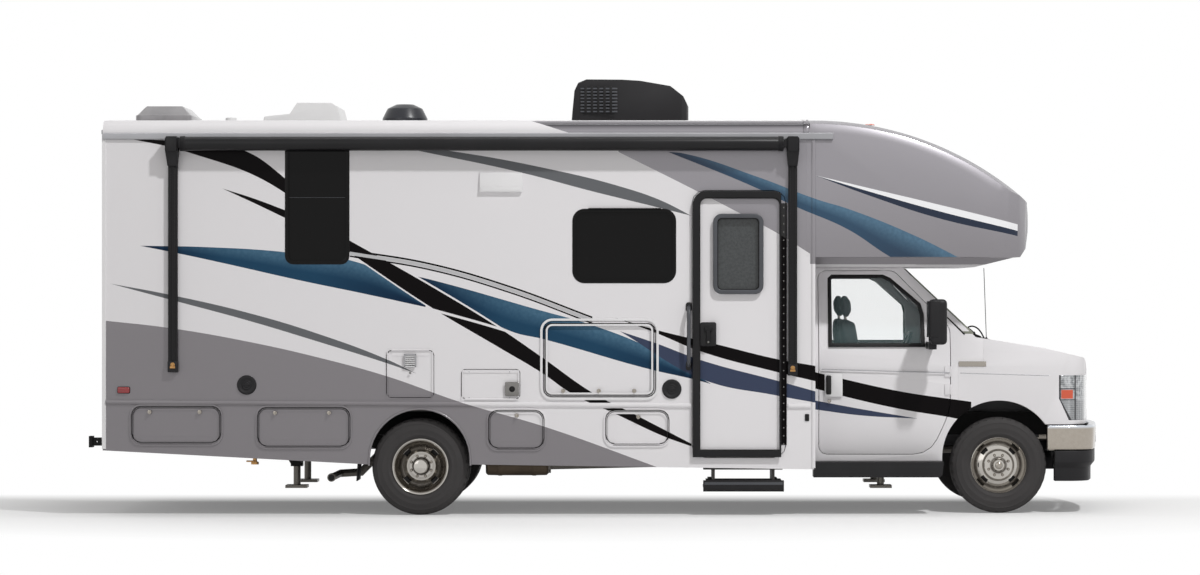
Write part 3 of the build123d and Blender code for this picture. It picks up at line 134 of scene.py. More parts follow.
# %% One material at a time
class Shader:
    """One material, or the world: makes nodes, and sets what its surface shader takes."""

    def __init__(self, name, world=None):
        self.material = world or bpy.data.materials.new(name)
        self.material.use_nodes = True
        self.tree = self.material.node_tree
        self.surface = self.tree.nodes["Background" if world else "Principled BSDF"]

    def node(self, kind, settings=None, values=None, output=0):
        """A node of that kind, its settings made first, then its inputs; returns one output."""
        made = self.tree.nodes.new(kind)
        for key, value in (settings or {}).items():
            setattr(made, key, value)
        for key, value in (values or {}).items():
            self.feed(made.inputs[key], value)
        return Field(self, made.outputs[output])

    def feed(self, socket, value):
        """Sets a socket to a number or a colour, or links a Field to it."""
        if isinstance(value, Field):
            self.tree.links.new(value.socket, socket)
        else:
            socket.default_value = value

    def place(self):
        """Where a point lies on the vehicle, in metres."""
        return self.node("ShaderNodeTexCoord", output="Object")

    def along(self, axis):
        """That place along X, Y or Z."""
        return self.node("ShaderNodeSeparateXYZ", None, {0: self.place()}, output=axis)

    def noise(self, scale, detail=3.0):
        """Smooth noise of so many grains a metre, from 0 to 1."""
        return self.node("ShaderNodeTexNoise", None, {
            "Vector": self.place(), "Scale": scale, "Detail": detail})

    def mix(self, share, first, second):
        """The first colour where share is 0, the second where it is 1."""
        return self.node("ShaderNodeMix", {"data_type": "RGBA"}, {0: share, 6: first, 7: second}, output=2)

    def bump(self, height, strength, distance):
        """Small relief on the surface's normal."""
        normal = self.node("ShaderNodeBump", None, {
            "Height": height, "Strength": strength, "Distance": distance}, output="Normal")
        self.feed(self.surface.inputs["Normal"], normal)

    def finish(self, color, roughness, metallic=0.0, coat=0.0):
        """Sets the surface's main values."""
        for key, value in (("Base Color", color), ("Roughness", roughness), ("Metallic", metallic),
                           ("Coat Weight", coat)):
            self.feed(self.surface.inputs[key], value)
        return self.material


def shade(red, green, blue):
    """A colour as a screen shows it, 0 to 255, turned to the light's own scale."""
    return tuple(((v / 255 + 0.055) / 1.055) ** 2.4 for v in (red, green, blue)) + (1.0,)


# %% [markdown]
# The coach and the cab share one paint: white, with two grey fields and the long swooping stripes that
# such vehicles wear. A stripe is the space between two curves over the vehicle's length, so each is
# drawn with two short lists of points, in metres forward and up, and a Float Curve node runs smoothly
# through them. The pattern lies on Object coordinates, so it crosses doors and hatches without a break
# and stays on them when they open.

# %% Stripes
HIGH = 3.4                               # metres, the range of the curves' heights

# name: upper edge, lower edge, as (forward, up)
STRIPES = {
    "black_sweep_rear": (
        ((-3.56, 2.90), (-2.64, 2.80), (-2.32, 2.58), (-1.84, 2.11)),
        ((-3.56, 2.90), (-3.08, 2.79), (-2.32, 2.47), (-1.84, 2.02))),
    "black_sweep": (
        ((-1.85, 2.12), (-1.21, 1.76), (-0.67, 1.43), (-0.35, 1.21), (0.04, 0.937), (0.35, 0.779),
         (0.79, 0.551)),
        ((-1.85, 2.03), (-1.21, 1.60), (-0.67, 1.28), (-0.35, 1.09), (-0.13, 0.937), (0.21, 0.779),
         (0.59, 0.603), (0.79, 0.531))),
    "black_thin": (
        ((-2.81, 2.51), (-2.56, 2.43), (-2.32, 2.34)),
        ((-2.81, 2.51), (-2.56, 2.395), (-2.32, 2.28))),
    "black_front": (
        ((0.20, 1.52), (0.50, 1.43), (1.00, 1.31), (1.45, 1.20), (1.745, 1.148)),
        ((0.20, 1.52), (0.52, 1.40), (0.86, 1.26), (1.45, 1.10), (1.745, 1.030))),
    "black_cab": (
        ((1.746, 1.096), (1.956, 1.045), (2.41, 0.946), (2.96, 0.865)),
        ((1.746, 0.969), (1.956, 0.912), (2.41, 0.809), (2.82, 0.740), (2.96, 0.71))),
    "grey_low": (
        ((-3.67, 1.78), (-3.24, 1.70), (-2.59, 1.55), (-2.06, 1.39), (-1.55, 1.20), (-1.32, 1.09)),
        ((-3.67, 1.78), (-3.22, 1.66), (-2.59, 1.49), (-2.06, 1.33), (-1.55, 1.17), (-1.32, 1.09))),
    "grey_high": (
        ((-1.36, 2.83), (-1.08, 2.80), (-0.26, 2.65), (0.26, 2.52), (0.55, 2.42), (0.79, 2.30)),
        ((-1.36, 2.81), (-0.51, 2.63), (0.02, 2.49), (0.55, 2.36), (0.79, 2.30))),
    "blue_grey": (
        ((0.24, 1.415), (0.51, 1.325), (0.86, 1.194), (1.45, 1.034), (1.745, 0.952)),
        ((0.24, 1.415), (0.86, 1.051), (1.45, 0.92), (1.745, 0.866))),
    "blue_cab": (
        ((1.746, 0.876), (2.10, 0.810), (2.545, 0.735)),
        ((1.746, 0.806), (2.10, 0.760), (2.545, 0.735))),
}
BLUES = {
    "blue_rear": (
        ((-3.44, 2.07), (-2.94, 2.06), (-2.32, 2.02), (-1.73, 1.93), (-1.53, 1.83), (-1.25, 1.62)),
        ((-3.44, 2.07), (-3.14, 2.01), (-2.77, 1.93), (-2.24, 1.81), (-1.71, 1.70), (-1.25, 1.60))),
    "blue_middle": (
        ((-1.34, 1.84), (-1.21, 1.81), (-0.46, 1.60), (0.12, 1.43), (0.48, 1.28), (0.79, 1.10), (0.94, 1.01)),
        ((-1.34, 1.84), (-0.61, 1.42), (-0.33, 1.35), (0.48, 1.12), (0.79, 1.05), (0.94, 1.01))),
    "blue_front": (
        ((0.61, 2.79), (0.72, 2.78), (1.32, 2.59), (1.74, 2.43), (2.00, 2.35), (2.52, 2.14), (2.84, 1.98)),
        ((0.61, 2.79), (1.25, 2.53), (1.59, 2.37), (2.00, 2.19), (2.29, 2.00), (2.84, 1.70))),
}
PINSTRIPE = (
    ((1.74, 2.61), (2.14, 2.515), (2.69, 2.385), (3.30, 2.235)),
    ((1.74, 2.61), (2.14, 2.49), (2.69, 2.335), (3.30, 2.185)),
    ((1.74, 2.61), (2.14, 2.46), (2.69, 2.28), (3.30, 2.145)))
FINE_LINE = ((-1.83, 1.99), (-1.21, 1.885), (-0.60, 1.71), (0.03, 1.475))
SPLIT_LINE = ((-1.27, 1.60), (-1.18, 1.575), (-0.67, 1.43), (-0.55, 1.39))
SPLIT_SPAN = (-1.20, -0.60)              # the part of it that shows, in the broad sweep
LOW_FIELD = ((-3.75, 1.50), (-3.22, 1.44), (-2.59, 1.33), (-2.06, 1.21), (-1.55, 1.07), (-0.98, 0.87),
             (-0.33, 0.68), (0.56, 0.36))
HIGH_FIELD = ((0.23, 2.79), (0.85, 2.48), (1.16, 2.32), (1.46, 2.16), (1.73, 1.99))
print("stripes drawn:", len(STRIPES) + len(BLUES))


# %% The space between two curves
def drawn(shader, x, points):
    """The height of the smooth curve through the points, for each place along x."""
    start, end = points[0][0], points[-1][0]
    height = shader.node("ShaderNodeFloatCurve", None, {"Value": x.ramp(start, end)})
    mapping = height.socket.node.mapping
    knots = mapping.curves[0].points
    while len(knots) < len(points):
        knots.new(0.5, 0.5)
    for knot, (forward, up) in zip(knots, points):
        knot.location = ((forward - start) / (end - start), up / HIGH)
        knot.handle_type = "AUTO_CLAMPED"
    mapping.update()
    return height * HIGH


THIN = 0.001                             # metres, so that a stripe's pointed end divides by no zero


def band(shader, x, z, upper, lower):
    """A mask of the space between two curves, and how far up in it a point lies."""
    top, bottom = drawn(shader, x, upper), drawn(shader, x, lower)
    inside = x.above(upper[0][0]) * x.below(upper[-1][0])
    inside = inside * z.below(top) * z.above(bottom)
    return inside, (z - bottom) / (top - bottom + THIN)


# %% [markdown]
# Where a stripe crosses the belt and the skirt's hardware it breaks into bars, the grey fields run over
# the rolled eave onto the cap, and the door's hinge margin is black like its frame. Each of these is a
# mask: 1 where the colour lies and 0 elsewhere. Masks are multiplied to cut one with another, and the
# larger of two joins them.

# %% Masks of the paint
SWEEP_TOP, SWEEP_FOOT = 0.937, 0.779     # the broad sweep is whole above and below the belt
SWEEP_BARS = ((0.865, 0.892), (0.805, 0.823))
HALO_SPAN = (-1.84, -0.2)                # where white lines edge the broad sweep
HALO_OVER, HALO_UNDER = 0.016, 0.013
EAVE = 2.93                              # height at which the wall rolls into the roof
EAVE_SLANT = (2.91, 3.08, -0.07)         # there the grey's edge runs back: from, metres per metre, at
EAVE_DARK_REFLECTION = ((2.955, 2.995), (3.0, 3.03))    # heights over which a painted dark reflection on the eave sets in, and clears again
ROOF_TOP, ROOF_FRONT = 3.031, 1.672      # the flat of the roof, which is white
CAP_START, CAP_FOOT = 1.70, 1.93         # the grey cap over the cab
CAB_SEAM, SOFFIT = 1.74, 1.984           # the coach's front wall, and the foot of the cap
LEAF_SIDE = -1.2705                      # the entry door's leaf lies outside this
HINGE_MARGIN = ((1.470, 0.449), (1.521, 2.490))    # (forward, up) low and high


def broken_at_belt(z):
    """The heights at which the broad sweep is painted."""
    mask = z.above(SWEEP_TOP).either(z.below(SWEEP_FOOT))
    for low, high in SWEEP_BARS:
        mask = mask.either(z.above(low) * z.below(high))
    return mask


def white_halo(shader, x, z):
    """The white edging of the broad sweep, with the sweep's own space in it."""
    upper, lower = STRIPES["black_sweep"]
    inside = z.below(drawn(shader, x, upper) + HALO_OVER) * z.above(drawn(shader, x, lower) - HALO_UNDER)
    return inside * x.above(HALO_SPAN[0]) * x.below(HALO_SPAN[1])


def grey_fields(shader, x, z):
    """Masks of the low field at the tail, of the high field at the nose, and of its strip on the eave."""
    low = z.below(drawn(shader, x, LOW_FIELD)) * x.below(LOW_FIELD[-1][0])
    wall = z.above(drawn(shader, x, HIGH_FIELD)) * x.above(HIGH_FIELD[0][0])
    foot, slope, forward = EAVE_SLANT
    eave = x.above((foot - z) * slope + forward) * z.above(EAVE)
    on_cap = x.above(CAP_START) * z.above(CAP_FOOT)
    roof_top = z.above(ROOF_TOP) * x.below(ROOF_FRONT)
    high = (wall * z.below(EAVE)).either(eave).either(on_cap) * (1 - roof_top)
    return low, high, eave


def hinge_margin(x, y, z):
    """The strip along the entry door's hinges, with its top corner cut."""
    (x0, z0), (x1, z1) = HINGE_MARGIN
    top = z1 - (x - x0).ramp(0.0, 0.05) * 0.03
    return x.above(x0) * x.below(x1) * z.above(z0) * z.below(top) * y.below(LEAF_SIDE)


# %% Colours laid over the white
NAVY, BLACK = shade(16, 32, 56), shade(12, 9, 10)
STRIPE_TONES = {"black": BLACK, "grey": shade(104, 106, 109), "blue": shade(62, 70, 92)}


def metallic_grey(shader, z):
    """Grey paint, paler higher up, with fine bright flakes."""
    flake = shader.noise(900.0, 1.0)
    grey = shader.mix(z.ramp(1.4, 2.5), shade(117, 113, 116), shade(141, 138, 143))
    return shader.mix(flake.ramp(0.35, 0.75) * 0.25, grey, shade(182, 180, 184))


def lay_blue(shader, color, x, z, upper, lower):
    """A blue sweep: navy at its tail and its foot, with a light glow along its upper edge."""
    inside, height = band(shader, x, z, upper, lower)
    inside = inside * z.above(SOFFIT).either(x.below(CAB_SEAM))
    start, end = upper[0][0], upper[-1][0]
    length = end - start
    glow = height.ramp(0.35, 0.85) * x.ramp(start, start + 0.45 * length)
    tone = shader.mix(x.ramp(start, start + 0.3 * length), NAVY, shade(34, 68, 94))
    tone = shader.mix(glow * (shader.noise(40.0, 2.0) * 0.7 + 0.3), tone, shade(84, 120, 144))
    tone = shader.mix(x.ramp(start + 0.62 * length, end) * (1 - height.ramp(0.2, 0.9)), tone, NAVY)
    return shader.mix(inside, color, tone)


# how far each fine line lies above the drawn one, half its width, and its tone
FINE_LINES = ((0.0, 0.006, BLACK), (0.022, 0.013, shade(190, 190, 192)), (0.045, 0.007, BLACK))


def lay_lines(shader, color, x, z, white):
    """The white line that splits the broad sweep, three fine lines, and the cap's pinstripe."""
    split = (z - drawn(shader, x, SPLIT_LINE)).size().below(0.010)
    color = shader.mix(split * x.above(SPLIT_SPAN[0]) * x.below(SPLIT_SPAN[1]), color, white)
    line = drawn(shader, x, FINE_LINE)
    for lift, half, tone in FINE_LINES:
        near = (z - line - lift).size().below(half) * x.above(FINE_LINE[0][0]) * x.below(FINE_LINE[-1][0])
        color = shader.mix(near, color, tone)
    for upper, lower, tone in zip(PINSTRIPE, PINSTRIPE[1:], (shade(236, 236, 238), NAVY)):
        color = shader.mix(band(shader, x, z, upper, lower)[0], color, tone)
    return color


# %% The coach's paint
def stripe_paint(name):
    """White paint with the grey fields and every stripe."""
    shader = Shader(name)
    x, y, z = (shader.along(axis) for axis in "XYZ")
    white = shade(229, 227, 229)
    dirt = shader.noise(1.3, 4.0)
    color = shader.mix(dirt * 0.05, white, shade(205, 202, 200))
    low_field, high_field, eave = grey_fields(shader, x, z)
    metallic = low_field.either(high_field)
    color = shader.mix(metallic, color, metallic_grey(shader, z))
    darkens, clears = EAVE_DARK_REFLECTION
    roll = z.ramp(*darkens) * (1 - z.ramp(*clears))
    # a painted dark reflection along the rolled eave, just under the roof's edge
    color = shader.mix(eave * x.below(CAP_START) * roll, color, shade(60, 58, 62))
    for upper, lower in BLUES.values():
        color = lay_blue(shader, color, x, z, upper, lower)
    color = shader.mix(white_halo(shader, x, z), color, white)
    for stripe, (upper, lower) in STRIPES.items():
        inside = band(shader, x, z, upper, lower)[0]
        if stripe == "black_sweep":
            inside = inside * broken_at_belt(z)
        color = shader.mix(inside, color, STRIPE_TONES[stripe.split("_")[0]])
    color = lay_lines(shader, color, x, z, white)
    color = shader.mix(hinge_margin(x, y, z), color, BLACK)
    shader.bump(shader.noise(7.0, 2.0), 0.05, 0.004)
    shader.surface.inputs["Specular IOR Level"].default_value = 0.06
    shader.surface.inputs["Coat Roughness"].default_value = 0.14
    return shader.finish(color, 0.28 + metallic * 0.08 + dirt * 0.06, metallic * 0.4, metallic * 0.7)


coach_paint = stripe_paint("coach_paint")
print("nodes in the paint:", len(coach_paint.node_tree.nodes))

# %% [markdown]
# The other finishes are plain stuff: moulded plastic, powder coat, chrome, glass and rubber. Each one
# gets the small unevenness that the real surface has, so that light breaks up on it.


# %% Plain finishes
def plain(name, color, roughness, metallic=0.0, coat=0.0, grain=60.0, relief=0.1, spread=0.12, glint=0.5):
    """A finish whose tone and gloss vary a little over the surface, with fine relief."""
    shader = Shader(name)
    shader.surface.inputs["Specular IOR Level"].default_value = glint
    patch = shader.noise(3.0, 4.0)
    darker = tuple(v * (1 - spread) for v in color[:3]) + (1.0,)
    lighter = tuple(min(v * (1 + spread) + 0.002, 1.0) for v in color[:3]) + (1.0,)
    shader.bump(shader.noise(grain, 4.0), relief, 0.002)
    tone = shader.mix(patch.ramp(0.3, 0.7), darker, lighter)
    return shader.finish(tone, patch * 0.1 + (roughness - 0.05), metallic, coat)


finishes = {
    "frame_black": plain("frame_black", shade(20, 19, 19), 0.6, grain=90, relief=0.2, glint=0.25),
    "cast_metal": plain("cast_metal", shade(105, 105, 107), 0.6, 0.6, grain=200, relief=0.3),
    "black_plastic": plain("black_plastic", shade(27, 26, 28), 0.5, grain=500, relief=0.15, glint=0.25),
    "bare_steel": plain("bare_steel", shade(120, 116, 110), 0.42, 0.8, grain=80, relief=0.2),
    "floor_board": plain("floor_board", shade(50, 46, 43), 0.6, grain=30, relief=0.1),
    "powder_black": plain("powder_black", shade(17, 16, 18), 0.34, grain=300, relief=0.06, glint=0.25),
    "white_plastic": plain("white_plastic", shade(222, 222, 222), 0.38, grain=60, relief=0.04, spread=0.04),
    "chrome": plain("chrome", shade(160, 154, 146), 0.12, 1.0, grain=12, relief=0.05, spread=0.05),
    "seat_fabric": plain("seat_fabric", shade(92, 94, 96), 0.85, grain=700, relief=0.5),
    "tyre": plain("tyre_rubber", shade(55, 53, 53), 0.7, grain=160, relief=0.2, glint=0.3),
}


# %% Glass
def tinted_glass(name, color, alpha, roughness=0.04, glint=0.5):
    """Flat glass: dark and mirror-like where alpha is 1, see-through where it is less."""
    shader = Shader(name)
    ripple = shader.noise(2.0, 2.0)
    shader.bump(ripple, 0.02, 0.01)
    shader.surface.inputs["Specular IOR Level"].default_value = glint
    shader.surface.inputs["Alpha"].default_value = alpha
    tone = shader.mix(ripple * 0.3, color, tuple(v * 0.8 for v in color[:3]) + (1.0,))
    return shader.finish(tone, ripple * 0.02 + roughness)


finishes["dark_glass"] = tinted_glass("dark_glass", shade(8, 7, 7), 1.0, 0.10, 0.15)
finishes["clear_glass"] = tinted_glass("clear_glass", shade(192, 228, 230), 0.055)
finishes["lamp_lens"] = tinted_glass("lamp_lens", shade(225, 228, 230), 0.35)
print("finishes:", ", ".join(finishes))

# %% [markdown]
# Every solid of the frame takes the finish of its slot in the record. The coach's skin and the cab are
# painted alike, so both slots take the one striped paint.

# %% Dress the frame's own pieces
slot_of = {part["node"]: part["material_slot"] for part in frame["record"]["subparts"]}
for name, solid in nodes.items():
    slot = slot_of[name]
    solid.data.materials.clear()
    solid.data.materials.append(coach_paint if slot in ("coach_skin", "cab_paint") else finishes[slot])

# %% [markdown]
# The pieces that follow are modelled as one would by hand: a primitive is set at its place, opened in
# edit mode, and shaped by extruding, insetting, bevelling and spinning. A few helpers keep each piece
# short. Operators act on whatever is selected, so every helper starts by deselecting everything.


# %% Modelling helpers
def only(*pieces):
    """Selects these pieces alone, and makes the first active."""
    bpy.ops.object.select_all(action="DESELECT")
    for piece in pieces:
        piece.select_set(True)
    bpy.context.view_layer.objects.active = pieces[0]


def start(name):
    """Names the primitive just added, and puts its place and size into its mesh."""
    piece = bpy.context.object
    piece.name = name
    bpy.ops.object.transform_apply(location=True, rotation=True, scale=True)
    return piece


def pick(piece, kind, test):
    """Opens the piece in edit mode with the items selected that pass the test."""
    only(piece)
    bpy.ops.object.mode_set(mode="EDIT")
    bpy.ops.mesh.select_mode(type=kind)
    bpy.ops.mesh.select_all(action="DESELECT")
    bpy.ops.object.mode_set(mode="OBJECT")
    mesh = piece.data
    for item in {"FACE": mesh.polygons, "EDGE": mesh.edges, "VERT": mesh.vertices}[kind]:
        item.select = bool(test(item))
    bpy.ops.object.mode_set(mode="EDIT")


def leave():
    """Closes edit mode."""
    bpy.ops.object.mode_set(mode="OBJECT")


def outward(piece):
    """Merges what lies double and turns every face outwards."""
    pick(piece, "FACE", lambda face: True)
    bpy.ops.mesh.remove_doubles(threshold=0.00002)
    bpy.ops.mesh.normals_make_consistent(inside=False)
    leave()
    return piece


# %% Boxes and plates
def block(name, low, high, round_edges=0.0, segments=2):
    """A box between two corners with its edges rounded."""
    bpy.ops.object.select_all(action="DESELECT")
    middle = [(a + b) / 2 for a, b in zip(low, high)]
    bpy.ops.mesh.primitive_cube_add(size=1, location=middle)
    bpy.context.object.scale = [b - a for a, b in zip(low, high)]
    piece = start(name)
    if round_edges:
        pick(piece, "EDGE", lambda edge: True)
        bpy.ops.mesh.bevel(offset=round_edges, segments=segments, profile=0.5)
        leave()
    return piece


def pull_out(push, width=None):
    """Pulls the open flat face out into a solid, after cutting it to a ring if it has a width."""
    bpy.ops.mesh.select_mode(type="FACE")
    bpy.ops.mesh.select_all(action="SELECT")
    if width:
        bpy.ops.mesh.inset(thickness=width)
        bpy.ops.mesh.delete(type="FACE")
        bpy.ops.mesh.select_all(action="SELECT")
    bpy.ops.mesh.extrude_region_move(TRANSFORM_OT_translate={"value": push})


def plate(name, low, high, face, lift, corner=0.0, width=None, wall="right", steps=5, lip=0.0):
    """A plate on a wall from (along, up) to (along, up), with round corners; a ring if it has a width.
    It starts at face, metres from the middle, and stands lift proud."""
    bpy.ops.object.select_all(action="DESELECT")
    out = -1 if wall in ("right", "rear") else 1
    sideways = wall in ("right", "left")
    along, up = (low[0] + high[0]) / 2, (low[1] + high[1]) / 2
    place = (along, out * face, up) if sideways else (out * face, along, up)
    push = (0, out * lift, 0) if sideways else (out * lift, 0, 0)
    turn = (pi / 2, 0, 0) if sideways else (pi / 2, 0, pi / 2)
    bpy.ops.mesh.primitive_plane_add(size=1, location=place, rotation=turn)
    bpy.context.object.scale = (high[0] - low[0], high[1] - low[1], 1)
    piece = start(name)
    pick(piece, "FACE", lambda one: True)
    if corner:
        bpy.ops.mesh.bevel(offset=corner, segments=steps, affect="VERTICES")
    pull_out(push, width)
    if lip:
        bpy.ops.mesh.inset(thickness=lip)
        bpy.ops.transform.translate(value=[part * lip * 0.5 / lift for part in push])
    leave()
    return outward(piece)


# %% Drawn, turned and bent pieces
def wire(name, spots):
    """A chain of edges from spot to spot, open in edit mode with all of it selected."""
    bpy.ops.object.select_all(action="DESELECT")
    bpy.ops.mesh.primitive_plane_add(size=0.001, location=spots[0])
    piece = start(name)
    pick(piece, "VERT", lambda one: True)
    bpy.ops.mesh.merge(type="CENTER")
    for first, second in zip(spots, spots[1:]):
        bpy.ops.mesh.extrude_vertices_move(TRANSFORM_OT_translate={"value": second - first})
    bpy.ops.mesh.select_all(action="SELECT")
    return piece


def outlined(name, corners, place, push, axis="Y", width=None):
    """A flat shape through corners, carried along an axis from place by push; a ring if it has a width."""
    spots = {"X": [(place, a, b) for a, b in corners],
             "Y": [(a, place, b) for a, b in corners],
             "Z": [(a, b, place) for a, b in corners]}[axis]
    piece = wire(name, [Vector(spot) for spot in spots])
    bpy.ops.mesh.edge_face_add()
    pull_out([push if axis == letter else 0 for letter in "XYZ"], width)
    leave()
    return outward(piece)


def lathe(name, profile, at, turn=(0, -1, 0), steps=48):
    """A round piece: a profile of (radius, out) spun about the line through at along turn."""
    turn = Vector(turn)
    radial = Vector((0, 0, 1)) if abs(turn.z) < 0.5 else Vector((1, 0, 0))
    spots = [Vector(at) + radial * radius + turn * out for radius, out in profile]
    piece = wire(name, spots)
    bpy.ops.mesh.spin(steps=steps, angle=2 * pi, center=at, axis=turn)
    leave()
    return outward(piece)


def tube(name, points, radius, smooth=False):
    """A round bar along points, in straight runs or on a smooth curve."""
    bpy.ops.object.select_all(action="DESELECT")
    bpy.ops.curve.primitive_bezier_curve_add(location=(0, 0, 0))
    curve = bpy.context.object.data
    spline = curve.splines[0]
    spline.bezier_points.add(len(points) - 2)
    for knot, point in zip(spline.bezier_points, points):
        knot.co = point
        knot.handle_left_type = knot.handle_right_type = "AUTO" if smooth else "VECTOR"
    spline.resolution_u = 8 if smooth else 1
    curve.dimensions = "3D"
    curve.bevel_depth = radius
    curve.bevel_resolution = 3
    curve.use_fill_caps = True
    bpy.ops.object.convert(target="MESH")
    return outward(start(name))


# %% Copies
def again(piece, name, move=(0, 0, 0), flip=False):
    """A copy with its own mesh, moved, or flipped to the vehicle's other side."""
    only(piece)
    bpy.ops.object.duplicate()
    bpy.context.object.location = move
    bpy.context.object.scale = (1, -1 if flip else 1, 1)
    copy = start(name)
    return outward(copy) if flip else copy


def joined(name, pieces):
    """Several pieces made one."""
    only(*pieces)
    if len(pieces) > 1:
        bpy.ops.object.join()
    pieces[0].name = name
    return pieces[0]


def row_of(name, first, moves):
    """A piece and a copy of it at each move, made one."""
    return joined(name, [first] + [again(first, first.name, move) for move in moves])


# %% Finishing helpers
def rounded(piece, width, segments, sharper=None):
    """Rounds the edges sharper than so many degrees, or than the modifier's own 30."""
    bevel = piece.modifiers.new("round_edges", "BEVEL")
    bevel.width = width
    bevel.segments = segments
    bevel.limit_method = "ANGLE"
    if sharper:
        bevel.angle_limit = radians(sharper)
    only(piece)
    bpy.ops.object.modifier_apply(modifier=bevel.name)


def fit(piece, finish, body="coach", round_edges=0.0, angle=35, segments=2):
    """Finishes a piece: rounds its edges, smooths it, dresses it and lets it ride on a body."""
    if round_edges:
        rounded(piece, round_edges, segments)
    only(piece)
    bpy.ops.object.shade_smooth_by_angle(angle=radians(angle))
    material = finishes[finish] if isinstance(finish, str) else finish
    if not piece.data.materials:
        piece.data.materials.append(material)
    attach(piece, body)
    return piece


SOFT_SEGMENTS, SOFT_ANGLE = 3, 25        # a softened edge's steps, and the degrees that make an edge


def softened(node, round_edges, finish, body="coach", smooth=40):
    """A copy of a solid with its edges rounded and its facets smoothed, in the solid's place."""
    piece = bpy.data.objects.new(node + "_soft", nodes[node].data.copy())
    bpy.context.scene.collection.objects.link(piece)
    piece.data.materials.clear()
    outward(piece)
    pick(piece, "FACE", lambda face: True)
    bpy.ops.mesh.dissolve_limited(angle_limit=radians(0.5))
    leave()
    rounded(piece, round_edges, SOFT_SEGMENTS, SOFT_ANGLE)
    fit(piece, finish, body, angle=smooth)
    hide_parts(node)
    return piece

# %% [markdown]
# Trim brings a few finishes of its own: drawn aluminium, rubber, coloured lenses, brass catches and the
# insect screen behind the entry door's glass, which shows a fine weave.

# %% Finishes of the trim
finishes.update({
    "screen_band": plain("screen_band", shade(118, 121, 108), 0.15, grain=4, relief=0.02, spread=0.3),
    "exhaust_brown": plain("exhaust_brown", shade(84, 72, 58), 0.5, 0.6, grain=18, relief=0.3, spread=0.4),
    "rubber": plain("rubber", shade(20, 19, 20), 0.55, grain=300, relief=0.1, glint=0.25),
    "trim_silver": plain("trim_silver", shade(158, 158, 161), 0.33, 0.55, grain=40, relief=0.04, spread=0.05),
    "trim_white": plain("trim_white", shade(226, 225, 226), 0.3, grain=40, relief=0.03, spread=0.03),
    "window_grey": plain("window_grey", shade(66, 68, 73), 0.4, grain=250, relief=0.08),
    "red_lens": plain("red_lens", shade(140, 14, 20), 0.16, coat=0.6, grain=220, relief=0.25),
    "amber_lens": plain("amber_lens", shade(222, 84, 34), 0.16, coat=0.6, grain=220, relief=0.25),
    "brass": plain("brass", shade(176, 134, 84), 0.3, 0.9, grain=60, relief=0.1),
    # near-black for holes and recesses: painted shade where only shade lies
    "painted_shade_black": plain("painted_shade_black", shade(9, 8, 9), 0.8, grain=60, relief=0.05),
    "dark_chrome": plain("dark_chrome", shade(120, 118, 116), 0.2, 1.0, grain=60, relief=0.05),
})


def screen_weave():
    """A dark insect screen: two crossed sets of fine waves."""
    shader = Shader("insect_screen")
    x, z = shader.along("X"), shader.along("Z")
    weave = ((x * 1500).math("SINE") * (z * 1500).math("SINE")).ramp(-0.2, 0.6)
    patch = shader.noise(60.0, 3.0).ramp(0.35, 0.65)
    tone = shader.mix(weave, shade(40, 42, 43), shade(66, 69, 70))
    tone = shader.mix(patch * 0.3, tone, shade(84, 88, 89))
    shader.bump(weave, 0.2, 0.0005)
    return shader.finish(tone, 0.3 + patch * 0.1, 0.0, 0.05)


finishes["insect_screen"] = screen_weave()
print("finishes:", len(finishes))

# %% [markdown]
# The wheels carry polished covers: at the front a domed ring with its hub standing out, at the rear a
# deep dish, because the rear wheels are doubled and the outer one faces inwards. Turning a profile
# round the axle gives the true shape, as a metal spinner makes it. The four hand holes are faces of
# the turned skin, inset and pushed in, and the lug nuts are one nut copied round.

# %% Polished steel
SIDES = (("right", -1), ("left", 1))     # a side's name, and its way out along Y
AXLE_Z = 0.372
FRONT_AXLE_X, REAR_AXLE_X = 3.176, -1.294
FRONT_OUT, REAR_OUT = 0.881, 1.1245      # from the middle to a front wheel, and to an outer rear one


def wheel_chrome(name, axle_x, shade_and_dust_rings):
    """Polished steel with rings of painted shade and painted dark reflection, and brown dust, in its
    recesses; the rings are listed as (radius, half width, share).
    """
    shader = Shader(name)
    x, z = shader.along("X") - axle_x, shader.along("Z") - AXLE_Z
    radius = (x * x + z * z).math("SQRT")
    patch = shader.noise(30.0, 4.0)
    dust_and_shade = None
    for middle, half, share in shade_and_dust_rings:
        ring = (1 - ((radius - middle).size() / half)).ramp(0.0, 0.8) * share
        dust_and_shade = ring if dust_and_shade is None else dust_and_shade.either(ring)
    dust_and_shade = dust_and_shade * (patch * 0.5 + 0.7)
    # the rings darken the steel: painted shade and dark reflection in the recesses, with brown dust
    tone = shader.mix(dust_and_shade, shade(186, 182, 176), shade(58, 51, 44))
    shader.bump(shader.noise(14.0, 3.0), 0.06, 0.002)
    return shader.finish(tone, dust_and_shade * 0.25 + 0.10, 1.0)


finishes["front_chrome"] = wheel_chrome("front_chrome", FRONT_AXLE_X, (
    (0.058, 0.012, 0.9), (0.119, 0.010, 0.5), (0.172, 0.016, 0.95), (0.203, 0.008, 0.4)))
finishes["rear_chrome"] = wheel_chrome("rear_chrome", REAR_AXLE_X, (
    (0.064, 0.014, 0.95), (0.095, 0.022, 0.35), (0.150, 0.040, 0.75), (0.205, 0.006, 0.3)))
print("polished steel for two wheel covers")

